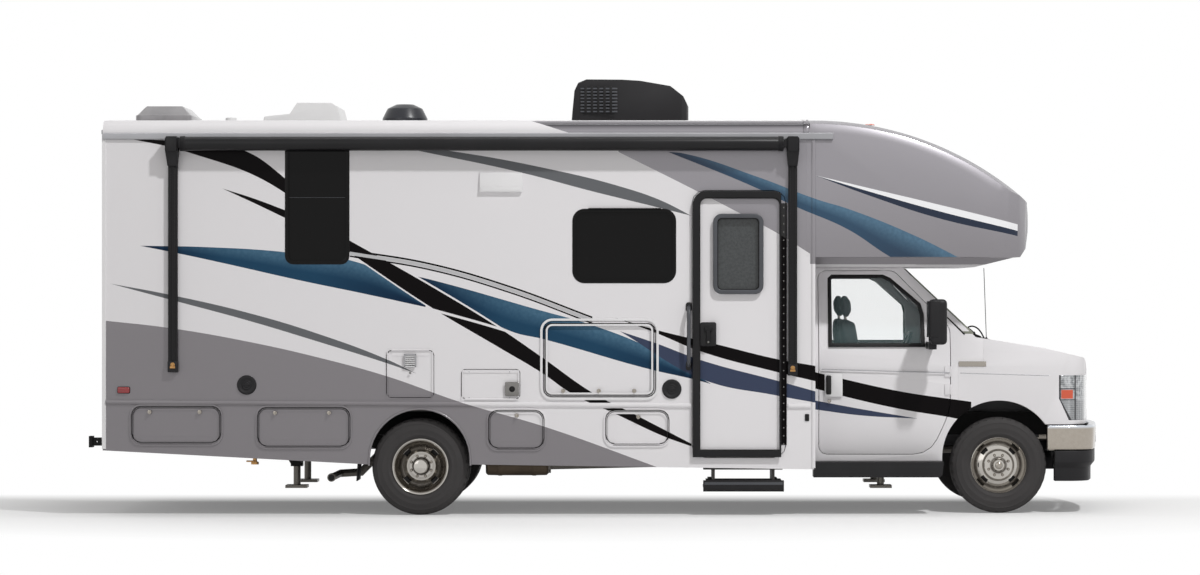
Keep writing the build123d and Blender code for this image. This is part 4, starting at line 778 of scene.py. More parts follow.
# %% Wheel covers
# profiles as (radius, out), from the hub's middle to the rim and back behind it
FRONT_COVER = (
    (0.0, 0.108), (0.026, 0.108), (0.040, 0.104), (0.048, 0.094), (0.052, 0.074), (0.060, 0.070),
    (0.108, 0.068), (0.116, 0.062), (0.124, 0.050), (0.136, 0.046), (0.152, 0.040), (0.166, 0.030),
    (0.176, 0.028), (0.186, 0.038), (0.196, 0.060), (0.206, 0.078), (0.214, 0.086), (0.2185, 0.084),
    (0.2185, 0.078), (0.206, 0.060), (0.200, 0.050), (0.200, -0.080), (0.186, -0.080), (0.182, 0.010),
    (0.0, 0.010))
REAR_COVER = (
    (0.0, 0.070), (0.040, 0.070), (0.050, 0.066), (0.056, 0.050), (0.058, -0.020), (0.066, -0.030),
    (0.110, -0.032), (0.120, -0.026), (0.130, -0.016), (0.142, -0.010), (0.156, -0.002), (0.166, 0.012),
    (0.174, 0.034), (0.184, 0.056), (0.194, 0.074), (0.204, 0.086), (0.212, 0.091), (0.2175, 0.088),
    (0.2175, 0.080), (0.206, 0.064), (0.200, 0.050), (0.200, -0.350), (0.188, -0.350), (0.186, -0.200),
    (0.0, -0.200))


HOLE_REACH = 12                          # degrees to each side of a hole's middle
NUT_COUNT, NUT_CIRCLE, NUT_SIZE = 8, 0.082, 0.0125


def hand_holes(piece, at, hole_low, hole_high, out):
    """Four long holes in the dish between two radii, pushed in, with painted shade on their insides."""
    centre = Vector(at)

    def in_a_hole(face):
        way = face.center - centre
        radius = hypot(way.x, way.z)
        turn = degrees(atan2(way.x, way.z)) % 90
        return hole_low < radius < hole_high and abs(turn - 45) < HOLE_REACH and out * face.normal.y > 0.2

    piece.data.materials.append(finishes["rear_chrome" if at[0] < 0 else "front_chrome"])
    piece.data.materials.append(finishes["painted_shade_black"])
    pick(piece, "FACE", in_a_hole)
    bpy.ops.mesh.inset(thickness=0.002, depth=0.002)
    bpy.ops.mesh.inset(thickness=0.002, depth=-0.014)
    # the holes' inner faces take near-black: painted shade
    piece.active_material_index = 1
    bpy.ops.object.material_slot_assign()
    leave()


def lug_nuts(name, at, out, lift):
    """Nuts round the hub: one six-sided nut with a domed end, copied."""
    turns = [2 * pi * (index + 0.5) / NUT_COUNT for index in range(NUT_COUNT)]
    spots = [Vector((at[0] + NUT_CIRCLE * sin(turn), at[1] + out * lift, at[2] + NUT_CIRCLE * cos(turn)))
             for turn in turns]
    nut = ((0, 0.022), (NUT_SIZE * 0.5, 0.020), (NUT_SIZE * 0.86, 0.014), (NUT_SIZE, 0.010), (NUT_SIZE, 0),
           (0, 0))
    first = lathe(name, nut, spots[0], (0, out, 0), steps=6)
    return row_of(name, first, [spot - spots[0] for spot in spots[1:]])


def wheel(side, out, axle, at, profile, holes, nut_lift):
    """One cover with its holes and nuts, in place of the plain turned wheel."""
    node = body = "front_wheel_" + side if axle == "front" else "rear_wheels_" + side
    cover = lathe(axle + "_cover_" + side, profile, at, (0, out, 0), steps=64)
    hand_holes(cover, at, *holes, out)
    fit(cover, "chrome", body, angle=28)
    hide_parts(node)
    fit(lug_nuts(axle + "_nuts_" + side, at, out, nut_lift), "chrome", body, angle=28)


FRONT_CAP = ((0, 0.118), (0.014, 0.117), (0.026, 0.112), (0.030, 0.106))
for side, out in SIDES:
    front_at, rear_at = (FRONT_AXLE_X, out * FRONT_OUT, AXLE_Z), (REAR_AXLE_X, out * REAR_OUT, AXLE_Z)
    wheel(side, out, "front", front_at, FRONT_COVER, (0.137, 0.166), 0.066)
    cap = lathe("front_cap_" + side, FRONT_CAP, front_at, (0, out, 0), steps=32)
    fit(cap, "chrome", "front_wheel_" + side, angle=50)
    wheel(side, out, "rear", rear_at, REAR_COVER, (0.131, 0.166), -0.034)

# %% [markdown]
# A tyre is a turned ring too. Its side has the fine raised rings of the mould and a rounded shoulder,
# and its tread is cut into blocks: the faces of the running surface are inset one by one, and what is
# left between them sinks to make the grooves. The solids of the frame keep the collision shape,
# hidden.

# %% Tyres
TWIN_STEP = 0.269                        # from an outer rear tyre in to its twin
BLOCK_STEP = 5                           # degrees; every other step is a block
BLOCK_FOOT, BLOCK_LANE = 0.3575, (0.060, 0.0925)
# profiles as (radius, out from the tyre's middle)
SIDE_RINGS = (
    (0.203, 0.060), (0.207, 0.070), (0.216, 0.078), (0.221, 0.090), (0.228, 0.098), (0.240, 0.104),
    (0.246, 0.1065), (0.249, 0.1065), (0.252, 0.1055), (0.272, 0.1095), (0.286, 0.1108), (0.289, 0.1115),
    (0.292, 0.1108), (0.312, 0.1085), (0.326, 0.1055), (0.330, 0.1065), (0.333, 0.1035), (0.345, 0.099),
    (0.356, 0.093), (0.3645, 0.086))
TREAD = (
    (0.3685, 0.081), (0.3705, 0.062), (0.3635, 0.058), (0.3635, 0.052), (0.3712, 0.048),
    (0.3720, 0.024), (0.3640, 0.020), (0.3640, 0.014), (0.3720, 0.010))


def tyre_profile():
    """The ring's section, closed: one side, the tread, the other side and the bead's seat."""
    half = list(SIDE_RINGS + TREAD)
    whole = half + [(radius, -out) for radius, out in reversed(half)]
    return whole + [(0.208, -0.05), (0.208, 0.05), half[0]]


def tyre(name, at):
    """One tyre with its tread blocks."""
    piece = lathe(name, tyre_profile(), at, (0, 1, 0), steps=72)
    centre = Vector(at)

    def between_blocks(face):
        way = face.center - centre
        step = round((degrees(atan2(way.x, way.z)) % 360) / BLOCK_STEP - 0.5)
        in_lane = BLOCK_LANE[0] < abs(way.y) < BLOCK_LANE[1]
        return hypot(way.x, way.z) > BLOCK_FOOT and in_lane and step % 2 == 0

    pick(piece, "FACE", between_blocks)
    bpy.ops.mesh.inset(thickness=0.0035, depth=-0.006)
    leave()
    return piece


def tyres():
    """The six tyres; the two of each rear pair ride and are dressed as one."""
    for side, out in SIDES:
        front = tyre("front_tyre_rubber_" + side, (FRONT_AXLE_X, out * FRONT_OUT, AXLE_Z))
        fit(front, "tyre", "front_wheel_" + side, angle=32)
        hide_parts("front_tyre_" + side)
        outer = tyre("rear_tyre_rubber_" + side, (REAR_AXLE_X, out * REAR_OUT, AXLE_Z))
        pair = row_of("rear_tyre_rubber_" + side, outer, [(0, -out * TWIN_STEP, 0)])
        fit(pair, "tyre", "rear_wheels_" + side, angle=32)
        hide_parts("rear_tyres_" + side)


tyres()
for side, out in SIDES:
    faces = bpy.data.objects["front_tyre_rubber_" + side].data.polygons
    print("tyre", side, "triangles:", sum(len(face.vertices) - 2 for face in faces))

# %% [markdown]
# The frame's solids have crisp edges and flat facets. On the real body the roof edge is rolled, the cap
# over the cab is moulded with a soft edge, and the cab's panels are pressed. So these solids are copied,
# the copies' loose triangles merged, their edges bevelled and their small facets shaded smooth.

# %% Rolled and pressed body panels
for node, edge in (("cabover_cap", 0.045), ("cab_shell", 0.014), ("front_fenders", 0.016), ("hood", 0.012)):
    piece = softened(node, edge, coach_paint, "hood" if node == "hood" else "coach")
    print(node, "polygons:", len(piece.data.polygons))
for side, out in SIDES:
    softened("cab_door_" + side, 0.008, coach_paint, "cab_door_" + side)
    softened("mirror_" + side, 0.014, "black_plastic", "cab_door_" + side)


# %% The roof's skin
WALL = 1.270             # half the coach's width
SUNK = 0.002             # a fitting starts this deep in what it stands on
TAIL_X = -3.726          # the coach's rear end
ROLL = 0.105             # the rolled edge's radius


def crowned(half, eave, crown):
    """A roof's section as (across, up): its edge rolls over from the eave, then rises to the crown."""
    turns = [pi / 2 * step / 9 for step in range(10)]
    edge = [(half - ROLL + ROLL * cos(turn), eave + ROLL * sin(turn)) for turn in turns]
    edge += crown
    return edge + [(-y, z) for y, z in reversed(edge)]


section = crowned(WALL, EAVE, ((1.0, 3.045), (0.75, 3.054), (0.50, 3.060)))
roof = outlined("roof_skin", section, TAIL_X, 5.397, "X")
fit(roof, coach_paint, "coach", angle=30)
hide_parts("coach_roof")
print("roof polygons:", len(roof.data.polygons))

# %% [markdown]
# Extruded mouldings finish the coach's seams: a half-round belt over the skirt's joint, a gutter under
# the roof edge, flat strips at the corners, and a cover over the cap's seam. Each is one drawn section
# carried along the body, as the real ones come off a die.

# %% Mouldings
def strip(name, section, x0, x1, finish, drop=0.0, slot=None):
    """A section of (out, up) carried along the body; its far end lies lower by drop."""
    piece = outlined(name, section, x0, x1 - x0, "X")
    if drop:
        pick(piece, "VERT", lambda corner: corner.co.x > x1 - 0.001)
        bpy.ops.transform.translate(value=(0, 0, -drop))
        leave()
    return fit(piece, finish)


# sections as (out, up)
BELT = ((1.268, 0.852), (1.277, 0.853), (1.283, 0.859), (1.286, 0.871), (1.283, 0.883), (1.277, 0.889),
        (1.268, 0.890))
BELT_ENDS = (-3.700, 1.706)
DOORWAY = (0.790, 1.532)
BELT_FALL = 0.030        # the belt lies lower ahead of the door than at the tail
GUTTER = ((1.268, 2.884), (1.283, 2.884), (1.290, 2.889), (1.291, 2.912), (1.289, 2.930), (1.282, 2.936),
          (1.268, 2.936))
# plans as (forward, out)
FRONT_CORNER = ((1.714, 1.268), (1.740, 1.268), (1.740, 1.277), (1.734, 1.281), (1.720, 1.281),
                (1.714, 1.277))
REAR_CORNER = ((-3.731, 1.240), (-3.731, 1.276), (-3.704, 1.276), (-3.700, 1.268), (-3.722, 1.266),
               (-3.722, 1.240))
for side, out in SIDES:
    belt = [(out * y, z) for y, z in BELT]
    if side == "right":
        strip("belt_rear_right", belt, BELT_ENDS[0], DOORWAY[0], coach_paint, 0.026, "coach_skin")
        low_belt = [(y, z - BELT_FALL) for y, z in belt]
        strip("belt_front_right", low_belt, DOORWAY[1], BELT_ENDS[1], coach_paint, slot="coach_skin")
    else:
        strip("belt_left", belt, *BELT_ENDS, coach_paint, BELT_FALL, "coach_skin")
    strip("gutter_" + side, [(out * y, z) for y, z in GUTTER], TAIL_X, 1.876, "trim_silver")
    front = outlined("front_moulding_" + side, [(x, out * y) for x, y in FRONT_CORNER], 0.366, 2.516, "Z")
    fit(front, coach_paint)
    rear = outlined("rear_moulding_" + side, [(x, out * y) for x, y in REAR_CORNER], 0.512, 2.415, "Z")
    fit(rear, "trim_white")
seam_cover = outlined("seam_cover", crowned(1.277, 2.937, ((0.75, 3.061), (0.50, 3.067))), 1.648, 0.042, "X")
fit(seam_cover, coach_paint, round_edges=0.004, angle=30)
print("mouldings done")


# %% Wheel arches
def arch_trim(side, out):
    """A rounded edge round the rear wheel's opening."""
    radius, height, low = 0.389, 0.430, 0.384
    y = out * 1.272
    turns = [pi * step / 24 for step in range(25)]
    way = [(REAR_AXLE_X - radius * cos(turn), y, height + radius * sin(turn)) for turn in turns]
    way = [(REAR_AXLE_X - radius, y, low)] + way + [(REAR_AXLE_X + radius, y, low)]
    fit(tube("arch_trim_" + side, way, 0.0085), coach_paint, angle=60)


for side, out in SIDES:
    arch_trim(side, out)
print("wheel arches trimmed")

# %% [markdown]
# The coach's windows are dark panes in slim black frames, with a small gutter over the galley pane and
# a thin bright line where the bedroom pane opens. A frame is a plane with rounded corners, inset and
# pulled out of the wall.

# %% Window frames
SIDE_FACE, REAR_FACE = 1.268, 3.724      # frames start just inside the walls
WINDOW_FRAMES = (
    # name, wall, (along, up) low, high, corner
    ("bedroom_frame_right", "right", (-2.324, 1.931), (-1.837, 2.866), 0.062),
    ("galley_frame_right", "right", (-0.120, 1.786), (0.669, 2.350), 0.090),
    ("bedroom_frame_left", "left", (-2.606, 1.786), (-1.819, 2.350), 0.090),
    ("dinette_frame_left", "left", (0.294, 1.786), (1.166, 2.350), 0.090),
    ("rear_window_frame", "rear", (-0.456, 1.734), (0.456, 2.206), 0.090),
)
for name, wall, low, high, corner in WINDOW_FRAMES:
    face = REAR_FACE if wall == "rear" else SIDE_FACE
    frame_ring = plate(name, low, high, face, 0.007, corner, 0.026, wall, steps=8)
    fit(frame_ring, "dark_glass", round_edges=0.002)
    bead = plate(name + "_bead", (low[0] - 0.004, low[1] - 0.004), (high[0] + 0.004, high[1] + 0.004),
                 face, 0.004, corner + 0.004, 0.008, wall, steps=8)
    fit(bead, "rubber")
DRIP = ((1.268, 2.349), (1.288, 2.351), (1.290, 2.357), (1.268, 2.360))
DRIPS = (("galley_drip", 0.0, 0.556, -1), ("bedroom_drip", -2.5, -1.93, 1), ("dinette_drip", 0.4, 1.06, 1))
for name, x0, x1, out in DRIPS:
    strip(name, [(out * y, z) for y, z in DRIP], x0, x1, "powder_black")
split = plate("bedroom_split", (-2.318, 2.4388), (-1.843, 2.4412), 1.2595, 0.003)
fit(split, "window_grey", round_edges=0.0005)
print("window frames:", len(WINDOW_FRAMES))

# %% [markdown]
# Small fittings dot the side: the range hood's flap vent, a red side marker, two round outdoor speakers,
# and a little lock near the cab. The speakers are turned discs with shallow ribs.


# %% Side fittings
def speaker(name, x, z):
    """A round black speaker with rings and a raised bar."""
    rings = ((0, 0.016), (0.018, 0.016), (0.022, 0.012), (0.034, 0.013), (0.038, 0.009), (0.052, 0.010),
             (0.058, 0.014), (0.070, 0.012), (0.075, 0.004), (0.075, -0.002), (0, -0.002))
    disc = lathe(name, rings, (x, -WALL, z), steps=40)
    bar = block(name + "_bar", (x - 0.030, -1.288, z - 0.004), (x + 0.030, -1.282, z + 0.004), 0.002)
    fit(joined(name, [disc, bar]), "black_plastic", angle=30)


speaker("speaker_rear", -2.621, 1.002)
speaker("speaker_front", 0.639, 0.971)
vent = block("range_vent", (-0.834, -1.296, 2.481), (-0.508, -1.268, 2.632))
pick(vent, "VERT", lambda corner: corner.co.y < -1.29 and corner.co.z > 2.6)
bpy.ops.transform.translate(value=(0, 0.014, 0))
leave()
fit(vent, "trim_white", round_edges=0.004)
flap = plate("range_vent_flap", (-0.822, 2.487), (-0.520, 2.520), 1.2935, 0.004, 0.004)
fit(flap, "trim_white", round_edges=0.001)
for side, out in SIDES:
    base = plate("marker_base_" + side, (-3.615, 0.936), (-3.515, 0.990), WALL - SUNK, 0.006, 0.012,
                 wall=side)
    fit(base, "rubber", round_edges=0.001)
    lens = plate("marker_lens_" + side, (-3.611, 0.940), (-3.519, 0.986), WALL + 0.002, 0.012, 0.010,
                 wall=side, lip=0.006)
    fit(lens, "red_lens", round_edges=0.002)
lock = plate("side_lock", (1.660, 0.725), (1.693, 0.779), WALL - SUNK, 0.008, 0.006, lip=0.003)
fit(lock, "rubber", round_edges=0.001)
print("side fittings done")

# %% [markdown]
# The entry door is a white leaf in a heavy black frame with round top corners, a row of rivets down its
# hinge side, a window with an insect screen in a grey frame, and a black latch with a paddle. All of it
# rides on the door. A long grab handle stands on the coach beside the door.

# %% Entry door
LEAF = 1.292             # the leaf's outer face


def arched(low, high, corner):
    """Corners of a doorway: square at its foot, round at its top."""
    turns = [pi / 2 * step / 8 for step in range(9)]
    right = [(high[0] - corner + corner * cos(turn), high[1] - corner + corner * sin(turn)) for turn in turns]
    left = [(low[0] + corner - corner * sin(turn), high[1] - corner + corner * cos(turn)) for turn in turns]
    return [(high[0], low[1])] + right + left + [(low[0], low[1])]


# the frame's ring is cut off at the hinges, where the leaf's black margin goes on with it
HINGE_CUT = 1.478
outline = arched((0.799, 0.449), (1.522, 2.490), 0.105)
ring = outlined("door_frame", outline, -LEAF + SUNK, -0.014, width=0.052)
pick(ring, "FACE", lambda face: True)
bpy.ops.mesh.bisect(plane_co=(HINGE_CUT, 0, 0), plane_no=(1, 0, 0), clear_outer=True, use_fill=True)
leave()
fit(ring, "powder_black", "entry_door", round_edges=0.005, segments=3)
outline = arched((0.848, 0.498), (1.473, 2.441), 0.058)
seal = outlined("door_seal", outline, -LEAF + SUNK, -0.007, width=0.010)
fit(seal, "rubber", "entry_door")


def rivets(name, spots, finish, body, radius=0.005, lift=0.003):
    """Dome-headed rivets on a side wall: one turned head, copied."""
    first = lathe(name, ((0, lift), (radius * 0.6, lift * 0.8), (radius, 0), (0, 0)), spots[0], steps=8)
    moves = [Vector(spot) - Vector(spots[0]) for spot in spots[1:]]
    return fit(row_of(name, first, moves), finish, body, angle=60)


rivet_spots = [(1.497, -LEAF, 0.55 + 0.0625 * step) for step in range(30)]
rivets("door_rivets", rivet_spots, "dark_chrome", "entry_door", lift=0.0005)
print("rivets:", len(rivet_spots))

# %% The door's window, latch and handle
pane = plate("door_pane", (0.962, 1.705), (1.335, 2.308), 1.250, 0.012, 0.060, steps=8)
fit(pane, "insect_screen", "entry_door")
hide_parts("entry_door_window")
surround = plate("door_window_frame", (0.955, 1.698), (1.342, 2.315), LEAF - 0.003, 0.017, 0.066, 0.034,
                 steps=8)
fit(surround, "window_grey", "entry_door", round_edges=0.006, segments=3)
bead = plate("door_window_bead", (0.986, 1.729), (1.311, 2.284), 1.262, 0.026, 0.040, 0.008, steps=8)
fit(bead, "rubber", "entry_door")
mount = plate("latch_plate", (0.857, 1.300), (0.980, 1.484), LEAF - SUNK, 0.016, 0.016, lip=0.004)
fit(mount, "black_plastic", "entry_door", round_edges=0.003)
# a flat near-black patch in the latch's recess: painted shade
well = plate("latch_well", (0.872, 1.316), (0.966, 1.468), LEAF + 0.0135, 0.0035, 0.012)
fit(well, "painted_shade_black", "entry_door", round_edges=0.001)
paddle = block("latch_paddle", (0.904, -1.322, 1.328), (0.934, -1.306, 1.446), 0.005)
head = block("latch_head", (0.890, -1.324, 1.418), (0.950, -1.306, 1.450), 0.005)
fit(joined("latch_paddle", [paddle, head]), "powder_black", "entry_door")
cylinder = lathe("latch_lock", ((0, 0.022), (0.008, 0.022), (0.010, 0.018), (0.010, 0), (0, 0)),
                 (0.919, -1.304, 1.332), steps=20)
fit(cylinder, "dark_chrome", "entry_door")
GRIP_X, GRIP_FEET = 0.769, (1.150, 1.600)
GRIP = ((-1.272, 1.150), (-1.318, 1.178), (-1.336, 1.260), (-1.340, 1.375), (-1.336, 1.490), (-1.318, 1.572),
        (-1.272, 1.600))
handle = tube("grab_handle", [(GRIP_X, y, z) for y, z in GRIP], 0.015, smooth=True)
fit(handle, "window_grey", angle=60)
for number, z in enumerate(GRIP_FEET):
    foot = plate("grab_foot_" + str(number), (0.747, z - 0.036), (0.791, z + 0.036), WALL - SUNK, 0.010,
                 0.018, lip=0.003)
    fit(foot, "black_plastic")
print("entry door dressed")

# %% [markdown]
# The awning is a fabric roll in a case under the gutter. Two heads at its ends taper into arms that lie
# flat on the wall, with a channel down each arm and a brass catch near its foot. The roll's end caps
# are ribbed so that they can be gripped.

# %% Awning
softened("awning", 0.004, "powder_black", smooth=50)
ARMS = (("rear", -3.224, -3.144, 1.100), ("front", 1.528, 1.604, 1.075))    # name, two sides, foot
HEAD_TOP, HEAD_SHOULDER, HEAD_FOOT = 2.900, 2.800, 2.676
ARM_FACE = -1.313        # the outer face of an arm's foot
CATCH = ((0, 0.012), (0.010, 0.012), (0.012, 0.009), (0.012, 0.004), (0.017, 0.002), (0.017, 0), (0, 0))


def arm_head(name, centre, wide):
    """The case at the arm's top: its foot is narrower, and slopes back to the wall."""
    foot = wide - 0.012
    taper = ((centre - wide, HEAD_TOP), (centre + wide, HEAD_TOP), (centre + wide, HEAD_SHOULDER),
             (centre + foot, HEAD_FOOT), (centre - foot, HEAD_FOOT), (centre - wide, HEAD_SHOULDER))
    cover = outlined("awning_head_" + name, taper, -1.276, -0.112)
    pick(cover, "VERT", lambda corner: corner.co.z < 2.7 and corner.co.y < -1.3)
    bpy.ops.transform.translate(value=(0, 0.055, 0))
    leave()
    fit(cover, "black_plastic", round_edges=0.010, segments=3)


def arm_fittings(name, x0, x1, foot):
    """The two rails of the arm's channel, its foot, and the brass catch on the foot."""
    centre = (x0 + x1) / 2
    for lane, offset in (("a", -0.018), ("b", 0.018)):
        rail = block("arm_rail_" + name + lane, (centre + offset - 0.005, -1.311, foot + 0.01),
                     (centre + offset + 0.005, -1.300, 2.680), 0.002)
        fit(rail, "powder_black")
    bracket = block("arm_foot_" + name, (x0 + 0.001, -1.314, foot), (x1 - 0.001, -1.272, foot + 0.085), 0.004)
    fit(bracket, "black_plastic")
    hook = lathe("arm_catch_" + name, CATCH, (centre, ARM_FACE, foot + 0.058), steps=16)
    clip = block("clip", (centre - 0.020, -1.321, foot + 0.030), (centre + 0.020, ARM_FACE, foot + 0.046),
                 0.002)
    fit(joined("arm_catch_" + name, [hook, clip]), "brass")


for name, x0, x1, foot in ARMS:
    arm_head(name, (x0 + x1) / 2, (x1 - x0) / 2 + 0.010)
    arm_fittings(name, x0, x1, foot)
print("awning arms:", len(ARMS))


# %% The roll's end caps
RIB_STEP = 0.010
RIB = ((0.058, 0.004), (0.058, 0.009), (0.054, 0.011))


def roll_cap(name, x, way):
    """A ribbed cap on the roll's end: ribs are turned as steps of its profile."""
    ribs = [(0.0, 0.0), (0.050, 0.0)]
    for step in range(4):
        ribs += [(radius, height + RIB_STEP * step) for radius, height in RIB]
    ribs += [(0.054, 0.046), (0, 0.046)]
    fit(lathe(name, ribs, (x, -1.345, 2.850), (way, 0, 0), steps=32), "black_plastic", angle=30)


roll_cap("roll_cap_rear", -3.124, 1)
roll_cap("roll_cap_front", 1.494, -1)
print("awning dressed")

# %% [markdown]
# Each compartment door lies in a thin frame with a dark seal, and is held by small turn latches. The
# large storage door has two raised white rims with a dark line between. A latch is a turned rosette
# with a wing across it; it is modelled once and copied to each door, where it rides on that door.

# %% Compartment doors
DOOR_FACE = 1.284        # the outer face of every compartment door
LATCHES = {              # where each door's latches sit, as (along, up)
    "baggage_door_r1": ((-3.365, 0.795), (-2.981, 0.795)),
    "baggage_door_r2": ((-2.403, 0.788), (-1.989, 0.788)),
    "baggage_door_r3": ((-0.550, 0.768),),
    "baggage_door_r4": ((0.382, 0.757),),
    "baggage_door_l1": ((-3.365, 0.795), (-2.981, 0.795)),
    "storage_door_large": ((-0.194, 0.956), (0.079, 0.956), (0.351, 0.956)),
}
ROSETTE = ((0, 0.010), (0.007, 0.010), (0.009, 0.006), (0.015, 0.005), (0.017, 0), (0, 0))
rosette = lathe("latch_rosette", ROSETTE, (0, 0, 0), steps=20)
wing = block("latch_wing", (-0.004, -0.016, -0.017), (0.004, -0.008, 0.015), 0.002)
latch = joined("turn_latch", [rosette, wing])
for door, spots in LATCHES.items():
    left = door.endswith("l1")
    out = 1 if left else -1
    for number, (x, z) in enumerate(spots):
        one = again(latch, "latch_" + door + "_" + str(number) + ".001", (x, out * DOOR_FACE, z), flip=left)
        fit(one, "chrome", door)
bpy.data.objects.remove(latch)
print("doors with latches:", len(LATCHES))


# %% Rims and seals
LEAST_CORNER = 0.004


def door_frame(door, grow, width, lift, finish, name, body="coach", corner=0.07):
    """A rim round a compartment door: outside it, on the wall, or inside it, on the leaf."""
    low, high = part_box(door)
    wall = "left" if low[1] > 0 else "right"
    face = (WALL if body == "coach" else DOOR_FACE) - SUNK
    rim = plate(name + "_" + door, (low[0] - grow, low[2] - grow), (high[0] + grow, high[2] + grow), face,
                lift, max(corner + grow, LEAST_CORNER), width, wall, steps=7)
    return fit(rim, finish, body, round_edges=0.0015)


for door in ("baggage_door_r1", "baggage_door_r2", "baggage_door_r3", "baggage_door_r4", "baggage_door_l1"):
    door_frame(door, 0.018, 0.010, 0.012, coach_paint, "outer_rim")
    door_frame(door, -0.006, 0.005, 0.0035, "rubber", "seal_line", door)
STORAGE = "storage_door_large"
door_frame(STORAGE, 0.028, 0.018, 0.013, "trim_white", "outer_rim", corner=0.065)
door_frame(STORAGE, -0.006, 0.007, 0.003, "rubber", "seal_line", STORAGE, 0.065)
door_frame(STORAGE, -0.015, 0.014, 0.008, "trim_white", "inner_rim", STORAGE, 0.065)
for door in ("service_hatch_upper", "service_hatch_lower"):
    door_frame(door, -0.002, 0.006, 0.003, coach_paint, "edge", door, 0.012)
print("compartment doors dressed:", len(LATCHES) + 2)

# %% [markdown]
# The two service hatches carry a louvre and a key above, and below them a square bezel with a round
# knob and four screws. The louvre's blades are one slanted slat, copied down the frame.

# %% Service hatches
louvre = plate("louvre_frame", (-1.413, 1.140), (-1.321, 1.240), DOOR_FACE - 0.001, 0.008, 0.004, 0.009)
fit(louvre, "trim_silver", "service_hatch_upper", round_edges=0.002)
# a near-black backing behind the blades: painted shade in the vent's opening
backing = plate("louvre_back", (-1.405, 1.148), (-1.329, 1.232), DOOR_FACE - 0.001, 0.003)
fit(backing, "painted_shade_black", "service_hatch_upper", round_edges=0.0005)
HATCH_SKIN = -1.2835
SLAT = ((HATCH_SKIN, 1.150), (HATCH_SKIN, 1.154), (-1.292, 1.146), (-1.292, 1.142))
first = outlined("louvre_blades", SLAT, -1.404, 0.074, "X")
blades = row_of("louvre_blades", first, [(0, 0, 0.0155 * step) for step in range(1, 6)])
fit(blades, "trim_white", "service_hatch_upper")
key = lathe("hatch_key", ((0, 0.006), (0.007, 0.006), (0.009, 0.003), (0.009, 0), (0, 0)),
            (-1.367, HATCH_SKIN, 1.094), steps=16)
fit(key, "dark_chrome", "service_hatch_upper")
bezel = plate("hatch_latch", (-0.639, 0.917), (-0.531, 1.025), DOOR_FACE - 0.001, 0.010, 0.008, lip=0.006)
fit(bezel, "dark_chrome", "service_hatch_lower", round_edges=0.002)
KNOB = ((0, 0.018), (0.010, 0.018), (0.014, 0.014), (0.016, 0.004), (0.030, 0.003), (0.034, 0), (0, 0))
knob = lathe("hatch_knob", KNOB, (-0.585, -1.2925, 0.971), steps=28)
fit(knob, "rubber", "service_hatch_lower")
screws = [(x, HATCH_SKIN, z) for x in (-0.915, -0.605) for z in (0.905, 1.103)]
rivets("hatch_screws", screws, "trim_silver", "service_hatch_lower", 0.004, 0.002)
print("service hatches dressed")

# %% [markdown]
# The front bumper is pressed from one sheet and chromed, with a soft bend at each corner; the valance
# under it is black plastic that steps inwards. Both start from the bumper's plan, drawn for one side
# and mirrored, and the corners are bevelled in edit mode.

# %% Bumper and valance
BACK_EDGE = 3.545        # where the bumper's ends stop, ahead of the wheels
# the outer and the inner line of one half, as (forward, across)
PLAN = ((BACK_EDGE, 1.019), (3.900, 1.019), (3.965, 0.690), (4.002, 0.400), (4.0295, 0.150))
INNER = ((3.960, 0.150), (3.935, 0.400), (3.900, 0.650), (3.840, 0.945), (BACK_EDGE, 0.945))


def bumper_plan(back, out):
    """The bumper's plan as corners (forward, across), moved back and in by small steps."""
    half, inner = ([(x - back if x > BACK_EDGE else x, y - out) for x, y in line] for line in (PLAN, INNER))
    front = half + [(x, -y) for x, y in reversed(half)]
    return front + [(x, -y) for x, y in reversed(inner)] + inner


def bend_corners(piece, radius):
    """Rounds the plan's two outer front corners, which are its upright edges at the ends."""
    corners = piece.data.vertices

    def bends(edge):
        a, b = (corners[index].co for index in edge.vertices)
        at_the_end = all(abs(end.y) > 0.99 and 3.86 < end.x < 3.92 for end in (a, b))
        return at_the_end and abs(a.z - b.z) > 0.01

    pick(piece, "EDGE", bends)
    bpy.ops.mesh.bevel(offset=radius, segments=9)
    leave()


def underside(face):
    """Whether a face looks down."""
    return face.normal.z < -0.9


def bumper_painted_reflections():
    """Chromed steel with painted reflections: a painted highlight brightens it at the nose, and under its top
    edge lie a painted pale highlight and then a painted dark reflection line.
    """
    shader = Shader("bumper_painted_reflections")
    x, z = shader.along("X"), shader.along("Z")
    streak = shader.noise(30.0, 4.0)
    tone = shader.mix(streak, shade(160, 152, 142), shade(176, 169, 159))
    # painted highlight at the nose, then a painted pale highlight and a painted dark reflection under the top
    # edge
    tone = shader.mix(x.ramp(3.90, 4.01) * 0.5, tone, shade(214, 209, 202))
    tone = shader.mix(z.ramp(0.655, 0.672), tone, shade(206, 210, 216))
    tone = shader.mix(z.ramp(0.679, 0.690), tone, shade(120, 120, 124))
    return shader.finish(tone, streak * 0.06 + 0.16, 1.0)


bumper = outlined("bumper_chrome", bumper_plan(0, 0), 0.487, 0.198, "Z")
bend_corners(bumper, 0.16)
pick(bumper, "FACE", underside)
bpy.ops.transform.resize(value=(0.985, 0.992, 1), center_override=(BACK_EDGE, 0, 0.487))
leave()
fit(bumper, bumper_painted_reflections(), round_edges=0.022, segments=5, angle=40)
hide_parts("front_bumper")
valance = outlined("bumper_valance", bumper_plan(0.010, 0.008), 0.395, 0.091, "Z")
bend_corners(valance, 0.15)
pick(valance, "FACE", underside)
bpy.ops.mesh.extrude_region_move(TRANSFORM_OT_translate={"value": (0, 0, -0.040)})
bpy.ops.transform.resize(value=(0.93, 0.972, 1), center_override=(BACK_EDGE, 0, 0.35))
bpy.ops.mesh.extrude_region_move(TRANSFORM_OT_translate={"value": (0, 0, -0.105)})
leave()
pick(valance, "VERT", lambda corner: corner.co.x < 3.60)
